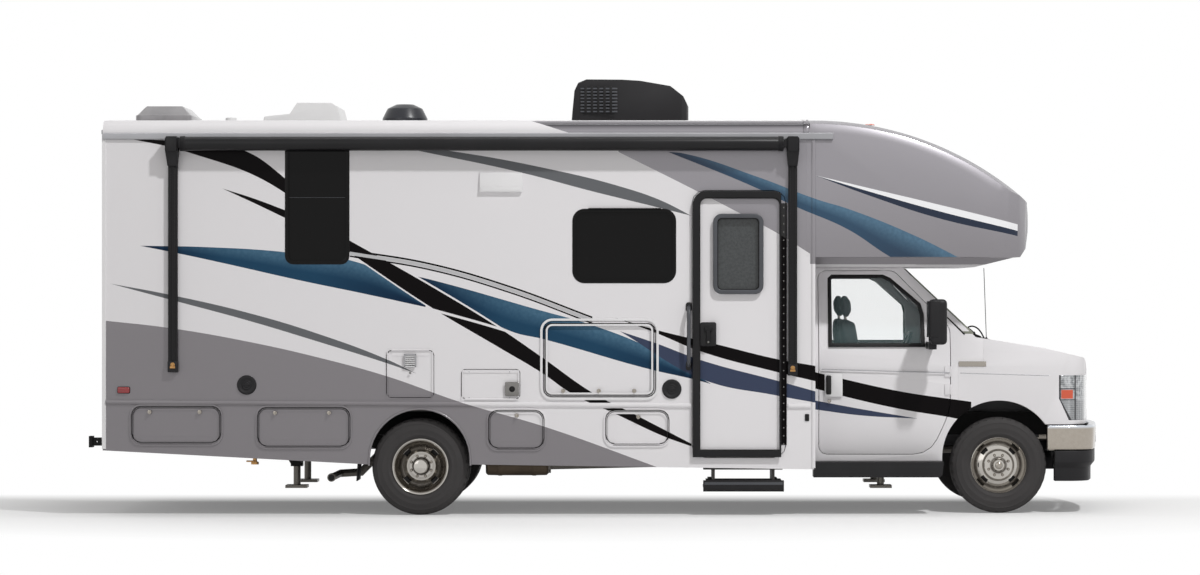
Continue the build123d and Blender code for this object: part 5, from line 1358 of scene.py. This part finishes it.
bpy.ops.transform.translate(value=(0.062, 0, 0))
leave()
fit(outward(valance), "black_plastic", round_edges=0.006, segments=3)
holder = block("plate_holder", (4.0185, -0.170, 0.520), (4.0285, 0.170, 0.655), 0.004)
fit(holder, "black_plastic", round_edges=0.001)
print("bumper width:", round(bumper.dimensions.y, 3))

# %% [markdown]
# The lamps are moulded boxes of clear plastic over bright reflectors. The solid keeps the outline, so
# only its finish is new: ribs and cells for the reflectors, an amber cell at the side, dark lines
# between the cells, and at the rear red fields with a white band.


# %% Lamp finish
CELL_LINES, LINE_HALF = (0.965, 0.880), 0.004    # heights of the dark lines between the cells
CELL_FRONT, CELL_FOOT, CELL_BACK = 3.768, 0.879, 3.637
LAMP_TOP = 1.070
AMBER = ((3.657, 0.889), (3.749, 0.957))         # the side cell, (forward, up) low and high
WHITE_BAND = (1.165, 1.205)                      # heights of the tail lamp's clear field


def lamp_finish():
    """Lamps under clear covers: ribbed silver cells ahead, red fields at the tail."""
    shader = Shader("lamp_cells")
    x, y, z = (shader.along(axis) for axis in "XYZ")
    ahead = x.above(3.0)
    ribs = (z * 420).math("SINE").ramp(-0.4, 0.9) * 0.5 + (y * 300).math("SINE").ramp(-0.2, 1.0) * 0.5
    facets = shader.noise(38.0, 1.0).ramp(0.42, 0.58)
    silver = shader.mix(ribs, shade(112, 115, 117), shade(190, 192, 194))
    silver = shader.mix(facets * 0.4, silver, shade(226, 228, 230))
    silver = shader.mix(z.below(0.875) * ahead * facets * 0.5, silver, shade(96, 98, 100))
    level = [(z - height).size().below(LINE_HALF) for height in CELL_LINES]
    lines = level[0].either(level[1]) * x.below(3.765)
    lines = lines.either((x - CELL_FRONT).size().below(0.006))
    back = CELL_BACK + (CELL_FOOT - z).ramp(0.0, 0.2) * 0.11
    lines = lines.either((x - back).below(0.016)).either(z.above(LAMP_TOP)) * ahead
    silver = shader.mix(lines, silver, shade(44, 45, 48))
    (x0, z0), (x1, z1) = AMBER
    amber = x.above(x0) * x.below(x1) * z.above(z0) * z.below(z1)
    head = shader.mix(amber, silver, shade(205, 74, 30))
    red = shader.mix(ribs * 0.4, shade(128, 10, 16), shade(190, 30, 30))
    tail = shader.mix(z.above(WHITE_BAND[0]) * z.below(WHITE_BAND[1]), red, shade(218, 218, 220))
    color = shader.mix(x.below(0.0), head, tail)
    shader.bump(ribs, 0.25, 0.002)
    return shader.finish(color, facets * 0.1 + 0.1, (1 - amber) * x.above(0.0) * 0.6, 0.7)


finishes["lamp_cells"] = lamp_finish()
softened("lamps", 0.004, "lamp_cells")
softened("grille", 0.0015, "chrome")
softened("windshield", 0.002, "clear_glass")
for side, out in SIDES:
    softened("cab_door_glass_" + side, 0.001, "clear_glass", "cab_door_" + side)
print("lamps dressed")

# %% [markdown]
# The cab doors carry a black rubber frame round the glass, a pull handle in a white cup, a key cylinder
# and the body's crease. The door leans inwards above its belt, so the flat frame is drawn first and its
# corners are then moved in by their height.

# %% Cab door trim
CAB_WINDOW = ((1.870, 1.305), (2.588, 1.305), (2.583, 1.560), (2.560, 1.610), (2.330, 1.810), (2.270, 1.838),
              (1.900, 1.838), (1.870, 1.808))
WINDOW_MIDDLE = (2.22, 1.57)
CAB_FACE = 1.021         # the cab door's outer face, below its belt
BELT_OUT, BELT_UP, INWARD = 0.977, 1.300, 0.325  # above the belt it leans in by so much per metre


def lean(z):
    """How far out the cab door's skin lies above its belt."""
    return BELT_OUT - (z - BELT_UP) * INWARD


def lay_on_door(piece, out, off):
    """Moves a flat piece's corners out to the leaning skin, each by its own height."""
    for corner in piece.data.vertices:
        corner.co.y += out * (lean(corner.co.z) + off)


def window_rubber(side, out):
    """A frame round the door glass, laid on the leaning skin."""
    grow = 0.016
    corners = [(x + (grow if x > WINDOW_MIDDLE[0] else -grow), z + (grow if z > WINDOW_MIDDLE[1] else -grow))
               for x, z in CAB_WINDOW]
    piece = outlined("window_rubber_" + side, corners, 0, out * 0.014, width=0.030)
    lay_on_door(piece, out, 0.010)
    return fit(piece, "rubber", "cab_door_" + side, round_edges=0.003)


def span(out, near, far):
    """Low and high Y of what lies between two distances from the middle, on one side."""
    return sorted((out * near, out * far))


# the pressed line along door and fender, as (forward, up), and how far out it lies on each; a grey tube draws
# it, painted shade along the crease
DOOR_CREASE, DOOR_CREASE_OUT = ((1.800, 1.118), (2.300, 1.103), (2.790, 1.090)), 1.0195
FENDER_CREASE, FENDER_OUT = ((2.875, 1.088), (3.560, 1.068)), 1.0055
for side, out in SIDES:
    body = "cab_door_" + side
    window_rubber(side, out)
    cup = plate("handle_cup_" + side, (1.824, 0.904), (1.962, 1.086), CAB_FACE - 0.003, 0.005, 0.012,
                wall=side, lip=0.003)
    fit(cup, "trim_white", body)
    y0, y1 = span(out, CAB_FACE + 0.001, CAB_FACE + 0.030)
    pull = block("handle_pull_" + side, (1.834, y0, 0.922), (1.874, y1, 1.070), 0.010, 3)
    fit(pull, "rubber", body)
    key = lathe("door_key_" + side, ((0, 0.008), (0.010, 0.008), (0.013, 0.004), (0.013, 0), (0, 0)),
                (1.860, out * (CAB_FACE - 0.001), 0.871), (0, out, 0), steps=20)
    fit(key, "chrome", body)
    # the crease's grey is painted shade
    crease = tube("door_crease_" + side, [(x, out * DOOR_CREASE_OUT, z) for x, z in DOOR_CREASE], 0.0035)
    fit(crease, "trim_silver", body, angle=60)
    crease = tube("fender_crease_" + side, [(x, out * FENDER_OUT, z) for x, z in FENDER_CREASE], 0.0035)
    fit(crease, "trim_silver", angle=60)
    badge = plate("fender_strip_" + side, (2.862, 1.138), (3.075, 1.178), 1.0045, 0.007, 0.005, wall=side,
                  lip=0.003)
    fit(badge, "chrome", round_edges=0.001)
print("cab doors dressed")

# %% Mirrors
for side, out in SIDES:
    body = "cab_door_" + side
    y0, y1 = span(out, 1.196, 1.416)
    shell = block("mirror_shell_" + side, (2.612, y0, 1.312), (2.742, y1, 1.660), 0.034, 5)
    pick(shell, "FACE", lambda face: face.normal.x < -0.9)
    bpy.ops.mesh.inset(thickness=0.014)
    bpy.ops.mesh.extrude_region_move(TRANSFORM_OT_translate={"value": (0.012, 0, 0)})
    leave()
    fit(outward(shell), "black_plastic", body, angle=30)
    y0, y1 = span(out, 1.232, 1.380)
    glass = plate("mirror_glass_" + side, (y0, 1.350), (y1, 1.622), 2.6205, 0.003, 0.02, wall="front")
    fit(glass, "chrome", body)
print("mirrors dressed")

# %% [markdown]
# The windscreen stands in a black surround over a black cowl, with two wipers parked along its foot and
# a thin mast aerial on the right fender. Wipers are bars along points that lie on the glass.


# %% Cowl and wipers
def on_glass(share, y, off=0.012):
    """A point on the windscreen, from its foot to its top."""
    return (2.963 - 0.510 * share + off * 0.7, y, 1.386 + 0.495 * share + off * 0.7)


cowl = outlined("cowl", ((2.905, 1.372), (3.058, 1.357), (3.066, 1.368), (3.010, 1.392), (2.950, 1.412),
                         (2.925, 1.404)), -0.735, 1.470)
fit(cowl, "black_plastic", round_edges=0.004)
WIPER_HUB = ((0, 0.030), (0.010, 0.028), (0.016, 0.018), (0.018, 0), (0, 0))
for name, y0, y1 in (("wiper_right", -0.62, 0.02), ("wiper_left", 0.06, 0.70)):
    arm_way = ((3.012, y0, 1.392), (3.000, y0 + 0.05, 1.412), on_glass(0.10, y0 + 0.30, 0.026),
               on_glass(0.13, y0 + 0.36, 0.016))
    blade_way = (on_glass(0.085, y0 + 0.06), on_glass(0.12, y0 + 0.30, 0.016), on_glass(0.155, y1))
    arm = tube(name + "_arm", arm_way, 0.007, smooth=True)
    blade = tube(name + "_blade", blade_way, 0.006, smooth=True)
    hub = lathe(name + "_hub", WIPER_HUB, (3.012, y0, 1.376), (0, 0, 1), steps=16)
    fit(joined(name, [arm, blade, hub]), "rubber", angle=50)
print("wipers parked")

# %% Windscreen surround and aerial
SCREEN_HALF = 0.815
# as (forward, up)
SCREEN_EDGE = ((2.915, 1.386), (2.982, 1.386), (2.982, 1.400), (2.466, 1.898), (2.392, 1.900), (2.645, 1.653))
PILLAR = ((2.913, 1.386), (2.643, 1.653), (2.390, 1.898))
HOOP = ((2.914, 1.388), (2.938, 1.427), (2.977, 1.448), (3.016, 1.439), (3.047, 1.411), (3.078, 1.357))
for side, out in SIDES:
    y = out * SCREEN_HALF
    bead_way = (on_glass(0.0, y), on_glass(0.5, y * 0.995), on_glass(0.985, y * 0.985))
    bead = tube("screen_rubber_" + side, bead_way, 0.008)
    fit(bead, "rubber", angle=50)
    edge = outlined("screen_edge_" + side, SCREEN_EDGE, 0, out * 0.030)
    lay_on_door(edge, out, -0.018)
    fit(edge, "screen_band", round_edges=0.008, segments=3)
    line = tube("pillar_rubber_" + side, [(x, out * (lean(z) + 0.010), z) for x, z in PILLAR], 0.007)
    fit(line, "rubber", angle=50)
hoop = tube("wiper_hoop", [(x, -0.800, z) for x, z in HOOP], 0.006, smooth=True)
fit(hoop, "rubber", angle=50)
end = outlined("cowl_end", ((2.911, 1.396), (2.981, 1.368), (3.083, 1.360), (3.145, 1.337), (3.122, 1.312),
                            (3.005, 1.326), (2.935, 1.357)), -0.870, 0.080)
fit(end, "rubber", round_edges=0.006)
bead = tube("screen_rubber_top", (on_glass(0.985, -0.768, 0.004), on_glass(0.985, 0.768, 0.004)), 0.012)
fit(bead, "rubber", angle=50)
mast = tube("aerial", ((3.092, -0.850, 1.330), (3.090, -0.850, 1.400), (3.072, -0.850, 1.902)), 0.0028)
foot = lathe("aerial_foot", ((0, 0.040), (0.006, 0.040), (0.010, 0.012), (0.018, 0.004), (0.020, 0), (0, 0)),
             (3.092, -0.850, 1.325), (0, 0, 1), steps=16)
fit(joined("aerial", [mast, foot]), "rubber", angle=50)
print("windscreen dressed")

# %% [markdown]
# On the roof stand a smoked skylight, a white vent and a dark aerial dome, which the frame holds as one
# piece, and the black air conditioner. One finish colours the three by their place along the roof. The
# cap carries five small amber lamps over its brow, and the rear wall three red ones.

# %% Roof fittings
SKYLIGHT_END, VENT_END = -3.12, -1.74   # the skylight, the vent and the dome follow each other along X


def roof_plastic():
    """Smoked skylight, white vent and dark dome, told apart by their place."""
    shader = Shader("roof_fittings")
    x = shader.along("X")
    streak = shader.noise(6.0, 3.0)
    color = shader.mix(streak * 0.3, shade(226, 226, 226), shade(196, 196, 196))
    smoked = shader.mix(streak, shade(112, 110, 112), shade(160, 158, 160))
    color = shader.mix(x.below(SKYLIGHT_END), color, smoked)
    color = shader.mix(x.above(VENT_END), color, shade(20, 22, 30))
    shader.bump(shader.noise(50.0, 3.0), 0.05, 0.002)
    return shader.finish(color, streak * 0.1 + 0.25, 0.0, x.below(SKYLIGHT_END) * 0.5)


softened("roof_vents", 0.006, roof_plastic())
softened("air_conditioner", 0.008, "black_plastic")
for side, y in (("right", -0.369), ("left", 0.363)):
    first = block("ac_grille", (-0.080, y, 3.140), (0.212, y + 0.006, 3.152), 0.002)
    bars = row_of("ac_grille_" + side, first, [(0, 0, 0.026 * row) for row in range(1, 8)])
    fit(bars, "window_grey")
    first = block("ac_mullion", (-0.050, y - 0.002, 3.130), (-0.030, y + 0.008, 3.345), 0.002)
    posts = row_of("ac_mullions_" + side, first, [(0.050 * column, 0, 0) for column in range(1, 5)])
    fit(posts, "rubber")
print("roof fittings done")


# %% Marker lamps
def small_lamp(name, at, turn, finish):
    """A small oval marker lamp: a turned dome, stretched sideways."""
    profile = ((0, 0.020), (0.012, 0.019), (0.022, 0.014), (0.027, 0.006), (0.030, 0.004), (0.031, -0.004),
               (0, -0.004))
    dome = lathe(name, profile, (0, 0, 0), turn, steps=24)
    dome.scale = (1, 1.9, 0.5 if turn[2] else 1)
    dome.location = at
    only(dome)
    bpy.ops.object.transform_apply(location=True, rotation=True, scale=True)
    return fit(dome, finish, angle=50)


REAR_LAMPS = {"rear_lamp_": (-0.16, 0.0, 0.16), "rear_corner_lamp_": (-1.10, 1.10)}
for number, y in enumerate((-0.90, -0.45, 0.0, 0.45, 0.90)):
    height = 3.033 - 0.020 * (abs(y) > 0.6)
    small_lamp("brow_lamp_" + str(number), (2.19, y, height), (0, 0, 1), "amber_lens")
for kind, places in REAR_LAMPS.items():
    for number, y in enumerate(places):
        small_lamp(kind + str(number), (-3.7265, y, 2.86), (-1, 0, 0), "red_lens")
print("marker lamps done")

# %% [markdown]
# The rear wall has a plain plate holder with its small lamp, a frame round each tail lamp, and a strip
# where the wall meets the roof. Nothing is written on the plate.

# %% Rear wall
holder = plate("rear_plate_holder", (-0.170, 0.900), (0.170, 1.070), 3.7255, 0.010, 0.012, wall="rear",
               lip=0.004)
fit(holder, "black_plastic", round_edges=0.001)
blank = plate("rear_plate", (-0.152, 0.910), (0.152, 1.060), 3.7350, 0.003, 0.010, wall="rear")
fit(blank, "trim_white", round_edges=0.0008)
lamp_bar = block("plate_lamp", (-3.752, -0.05, 1.078), (-3.724, 0.05, 1.098), 0.006)
fit(lamp_bar, "black_plastic")
for number, y in enumerate((-1.05, 1.05)):
    for z0, z1 in ((0.960, 1.130), (1.150, 1.280)):
        low, high = (y - 0.067, z0 - 0.007), (y + 0.067, z1 + 0.007)
        rim = plate("tail_rim_" + str(number), low, high, 3.7245, 0.014, 0.012, 0.010, "rear")
        fit(rim, "rubber", round_edges=0.002)
brow = block("rear_brow", (-3.738, -1.262, 2.925), (-3.722, 1.262, 2.960), 0.005)
fit(brow, "trim_silver")
print("rear wall done")

# %% [markdown]
# Under the body hang the rubber flaps behind the rear wheels, the tail pipe's lip, drain valves, the
# jacks' gussets with their bolts, the entry step's treads and the muffler.

# %% Flaps, tail pipe and drain
for side, out in SIDES:
    y0, y1 = span(out, 0.93, 1.225)
    flap = block("mud_flap_" + side, (-1.765, y0, 0.262), (-1.755, y1, 0.560), 0.003)
    pick(flap, "VERT", lambda corner: corner.co.z < 0.3)
    bpy.ops.transform.translate(value=(-0.020, 0, 0))
    leave()
    fit(flap, "rubber")
PIPE_END = (-1.984, -1.131, 0.285)
PIPE_LIP = ((0.024, -0.040), (0.0245, 0.004), (0.028, 0.006), (0.0325, 0.003), (0.0325, -0.030),
            (0.024, -0.040))
lip = lathe("tail_pipe_lip", PIPE_LIP, PIPE_END, steps=28)
fit(lip, "bare_steel")
# a near-black disc just inside the pipe's lip: painted shade in its bore
PIPE_BORE = ((0, 0.002), (0.0245, 0.002), (0.0245, -0.004), (0, -0.004))
inside = lathe("tail_pipe_painted_shade", PIPE_BORE, PIPE_END, steps=24)
fit(inside, "painted_shade_black")
VALVE = ((0, 0.0), (0.024, 0.0), (0.024, 0.020), (0.016, 0.026), (0.016, 0.060), (0.030, 0.066),
         (0.030, 0.084), (0, 0.084))
valve = lathe("drain_valve", VALVE, (-2.575, -1.120, 0.470), (0, 0, -1), steps=20)
lever = block("drain_lever", (-2.640, -1.140, 0.405), (-2.560, -1.128, 0.417), 0.003)
fit(joined("drain_valve", [valve, lever]), "brass")
pipe = tube("drain_pipe", ((-2.575, -1.120, 0.520), (-2.575, -1.120, 0.468)), 0.026)
fit(pipe, "black_plastic", angle=50)
trough = block("drain_box", (-2.690, -1.190, 0.440), (-2.500, -1.050, 0.545), 0.008)
fit(trough, "frame_black")
print("pipes and flaps done")


# %% Jack brackets
def jack_bracket(place, x0, x1, side, out):
    """A gusset with cut lower corners, held by four bolts."""
    y0, y1 = span(out, 0.535, 0.560)
    gusset = ((x0, 0.560), (x1, 0.560), (x1, 0.420), (x1 - 0.04, 0.350), (x0 + 0.04, 0.350), (x0, 0.420))
    bracket = outlined("jack_bracket_" + place + "_" + side, gusset, y0, y1 - y0)
    fit(bracket, "frame_black", round_edges=0.003)
    face = y0 if out < 0 else y1
    spots = [Vector((x, face, z)) for x in (x0 + 0.03, x1 - 0.03) for z in (0.440, 0.520)]
    head = ((0, 0.008), (0.010, 0.008), (0.012, 0), (0, 0))
    first = lathe("jack_bolt", head, spots[0], (0, out, 0), steps=6)
    bolts = row_of("jack_bolts_" + place + "_" + side, first, [spot - spots[0] for spot in spots[1:]])
    fit(bolts, "bare_steel")


for place, x0, x1 in (("rear", -2.390, -2.250), ("front", 2.223, 2.363)):
    for side, out in SIDES:
        jack_bracket(place, x0, x1, side, out)
print("jack brackets done")

# %% Entry step and muffler
first = block("step_ribs", (0.900, -1.262, 0.2695), (1.480, -1.256, 0.2735), 0.001)
ribs = row_of("step_ribs", first, [(0, 0.020 * step, 0) for step in range(1, 12)])
fit(ribs, "rubber", "entry_step")
nose = block("step_nose", (0.884, -1.276, 0.196), (1.496, -1.266, 0.262), 0.004)
fit(nose, "black_plastic", "entry_step")
edge = block("step_edge", (0.890, -1.2775, 0.236), (1.490, -1.274, 0.256), 0.0015)
fit(edge, "window_grey", "entry_step")
softened("entry_step", 0.003, "black_plastic", "entry_step")
bar = block("step_case", (0.880, -1.262, 0.352), (1.490, -1.215, 0.376), 0.004)
fit(bar, "frame_black")
# the muffler is the same at both ends, so half its profile is mirrored, as (radius, along)
MUFFLER_HALF = ((0, 0.245), (0.060, 0.243), (0.074, 0.228), (0.076, 0.150), (0.079, 0.145), (0.079, 0.120),
                (0.076, 0.115))
muffler = MUFFLER_HALF + tuple((radius, -along) for radius, along in reversed(MUFFLER_HALF))
fit(lathe("muffler", muffler, (-0.560, -0.900, 0.366), (1, 0, 0), steps=32), "exhaust_brown")
print("under the body done")

# %% [markdown]
# Through the cab's glass one sees two seats. Each has a cushion, a back and a head rest on a base. A
# padded form starts as a box, is cut into a grid by subdividing, and its middle is swollen outwards
# while its edges stay in, as foam does under a tight cover. The back's two sides stand forward as wings.


# %% Padded forms
def pad(name, low, high, swell, lean_by=0.0, wings=0.0):
    """A stuffed form between two corners: swollen faces, pulled-in edges, leaning back by its height."""
    piece = block(name, low, high)
    pick(piece, "FACE", lambda face: True)
    bpy.ops.mesh.subdivide(number_cuts=9)
    leave()
    middle = [(a + b) / 2 for a, b in zip(low, high)]
    half = [(b - a) / 2 for a, b in zip(low, high)]
    for corner in piece.data.vertices:
        share = [(corner.co[axis] - middle[axis]) / half[axis] for axis in range(3)]
        for axis in range(3):
            others = [share[other] for other in range(3) if other != axis]
            crown = (1 - others[0] ** 4) * (1 - others[1] ** 4)
            corner.co[axis] += share[axis] * swell * (crown - 1.0)
        side_wing = max(0.0, abs(share[1]) - 0.6) / 0.4
        corner.co.x += wings * side_wing * (share[0] > 0)
        corner.co.x -= lean_by * (corner.co.z - low[2])
    smooth = piece.modifiers.new("smooth", "SUBSURF")
    smooth.levels = smooth.render_levels = 1
    only(piece)
    bpy.ops.object.modifier_apply(modifier="smooth")
    return piece


# %% Seat cloth
def fabric():
    """Woven cloth: two crossed waves, with a heather of lighter threads."""
    shader = Shader("seat_weave")
    x, y, z = (shader.along(axis) for axis in "XYZ")
    weave = ((y * 1400).math("SINE") * ((x + z) * 1400).math("SINE")).ramp(-0.8, 0.8)
    heather = shader.noise(240.0, 2.0)
    tone = shader.mix(weave, shade(50, 52, 55), shade(88, 90, 94))
    tone = shader.mix(heather.ramp(0.5, 0.7) * 0.5, tone, shade(120, 122, 126))
    shader.bump(weave, 0.3, 0.0006)
    return shader.finish(tone, heather * 0.1 + 0.8)


finishes["seat_weave"] = fabric()
print("seat cloth woven")

# %% Cab seats
for side, y in (("right", -0.48), ("left", 0.48)):
    cushion = pad("seat_cushion_" + side, (1.930, y - 0.245, 0.905), (2.395, y + 0.245, 1.050), 0.030)
    back = pad("seat_back_" + side, (2.020, y - 0.235, 1.010), (2.150, y + 0.235, 1.500), 0.026, 0.16, 0.030)
    rest = pad("head_rest_" + side, (1.975, y - 0.130, 1.520), (2.062, y + 0.130, 1.685), 0.020, 0.08)
    for piece, fill in ((cushion, 0.7), (back, 0.7), (rest, 0.8)):
        fit(piece, "seat_weave", angle=60)
    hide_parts("cab_seats")
    base = block("seat_base_" + side, (1.965, y - 0.195, 0.812), (2.295, y + 0.195, 0.915), 0.012, 3)
    fit(base, "black_plastic")
    posts = [tube("post", ((2.016, y + offset, 1.470), (2.010, y + offset, 1.535)), 0.008)
             for offset in (-0.06, 0.06)]
    fit(joined("head_rest_posts_" + side, posts), "chrome", angle=50)
print("cab seats done")

# %% [markdown]
# A plain studio: a pale floor that keeps the soft shadow and fades to white, a white surround, and broad
# soft lamps above the camera's side.

# %% Floor and surround
WHITE = (1, 1, 1, 1)
FLOOR_SIZE = 120
FLOOR_GREY, FLOOR_ROUGH = (0.86, 0.86, 0.86, 1), 0.9
LEAST_GLOW = 0.18                        # under the vehicle, where the floor keeps its shadow
WORLD_TINT, WORLD_LIGHT = (1.0, 0.985, 0.965, 1), 0.34


def seen_rays(shader):
    """1 for rays from the camera, or by way of gloss and glass: these should meet plain white."""
    seen = shader.node("ShaderNodeLightPath", output="Is Camera Ray")
    for ray in ("Is Glossy Ray", "Is Transmission Ray"):
        seen = seen.either(shader.node("ShaderNodeLightPath", output=ray))
    return seen


def white_where(shader, share, kind, output):
    """Ends a shader: its own surface, turned to a plain white glow by a share."""
    white = shader.node(kind, None, {"Color": WHITE, "Strength": 1.0})
    own = Field(shader, shader.surface.outputs[0])
    both = shader.node("ShaderNodeMixShader", None, {0: share, 1: own, 2: white})
    shader.feed(shader.tree.nodes[output].inputs["Surface"], both)


bpy.ops.object.select_all(action="DESELECT")
bpy.ops.mesh.primitive_plane_add(size=FLOOR_SIZE, location=(0, 0, 0))
floor = bpy.context.object
floor.name = "floor"
shader = Shader("floor_white")
x, y = shader.along("X"), shader.along("Y")
away = ((x * x / 30 + y * y / 10).math("SQRT")).ramp(0.75, 1.35)
away = away.either(y.ramp(0.5, 1.6)) * (1 - LEAST_GLOW) + LEAST_GLOW
shader.finish(FLOOR_GREY, FLOOR_ROUGH)
white_where(shader, away * seen_rays(shader), "ShaderNodeEmission", "Material Output")
floor.data.materials.append(shader.material)

sky = Shader("studio", bpy.data.worlds.new("studio"))
bpy.context.scene.world = sky.material
sky.feed(sky.surface.inputs["Color"], WORLD_TINT)
sky.feed(sky.surface.inputs["Strength"], WORLD_LIGHT)
white_where(sky, seen_rays(sky), "ShaderNodeBackground", "World Output")
print("floor and surround ready")


# %% Lamps
def soft_lamp(name, at, toward, size, power):
    """A square area lamp that looks at a point."""
    bpy.ops.object.light_add(type="AREA", location=at)
    lamp = bpy.context.object
    lamp.name = name
    lamp.data.size = size
    lamp.data.energy = power
    lamp.rotation_euler = (Vector(toward) - Vector(at)).to_track_quat("-Z", "Y").to_euler()
    return lamp


soft_lamp("key_lamp", (8.4, -11.2, 17.5), (0, 0, 1.2), 1.0, 2450)
soft_lamp("fill_lamp", (-10, -18, 8), (0, 0, 1.2), 9.0, 220)
strip_lamp = soft_lamp("strip_lamp", (0, -1.0, 15), (0, -1.0, 0), 14.0, 300)
strip_lamp.data.shape = "RECTANGLE"
strip_lamp.data.size_y = 1.0
print("lamps:", len(bpy.data.lights))
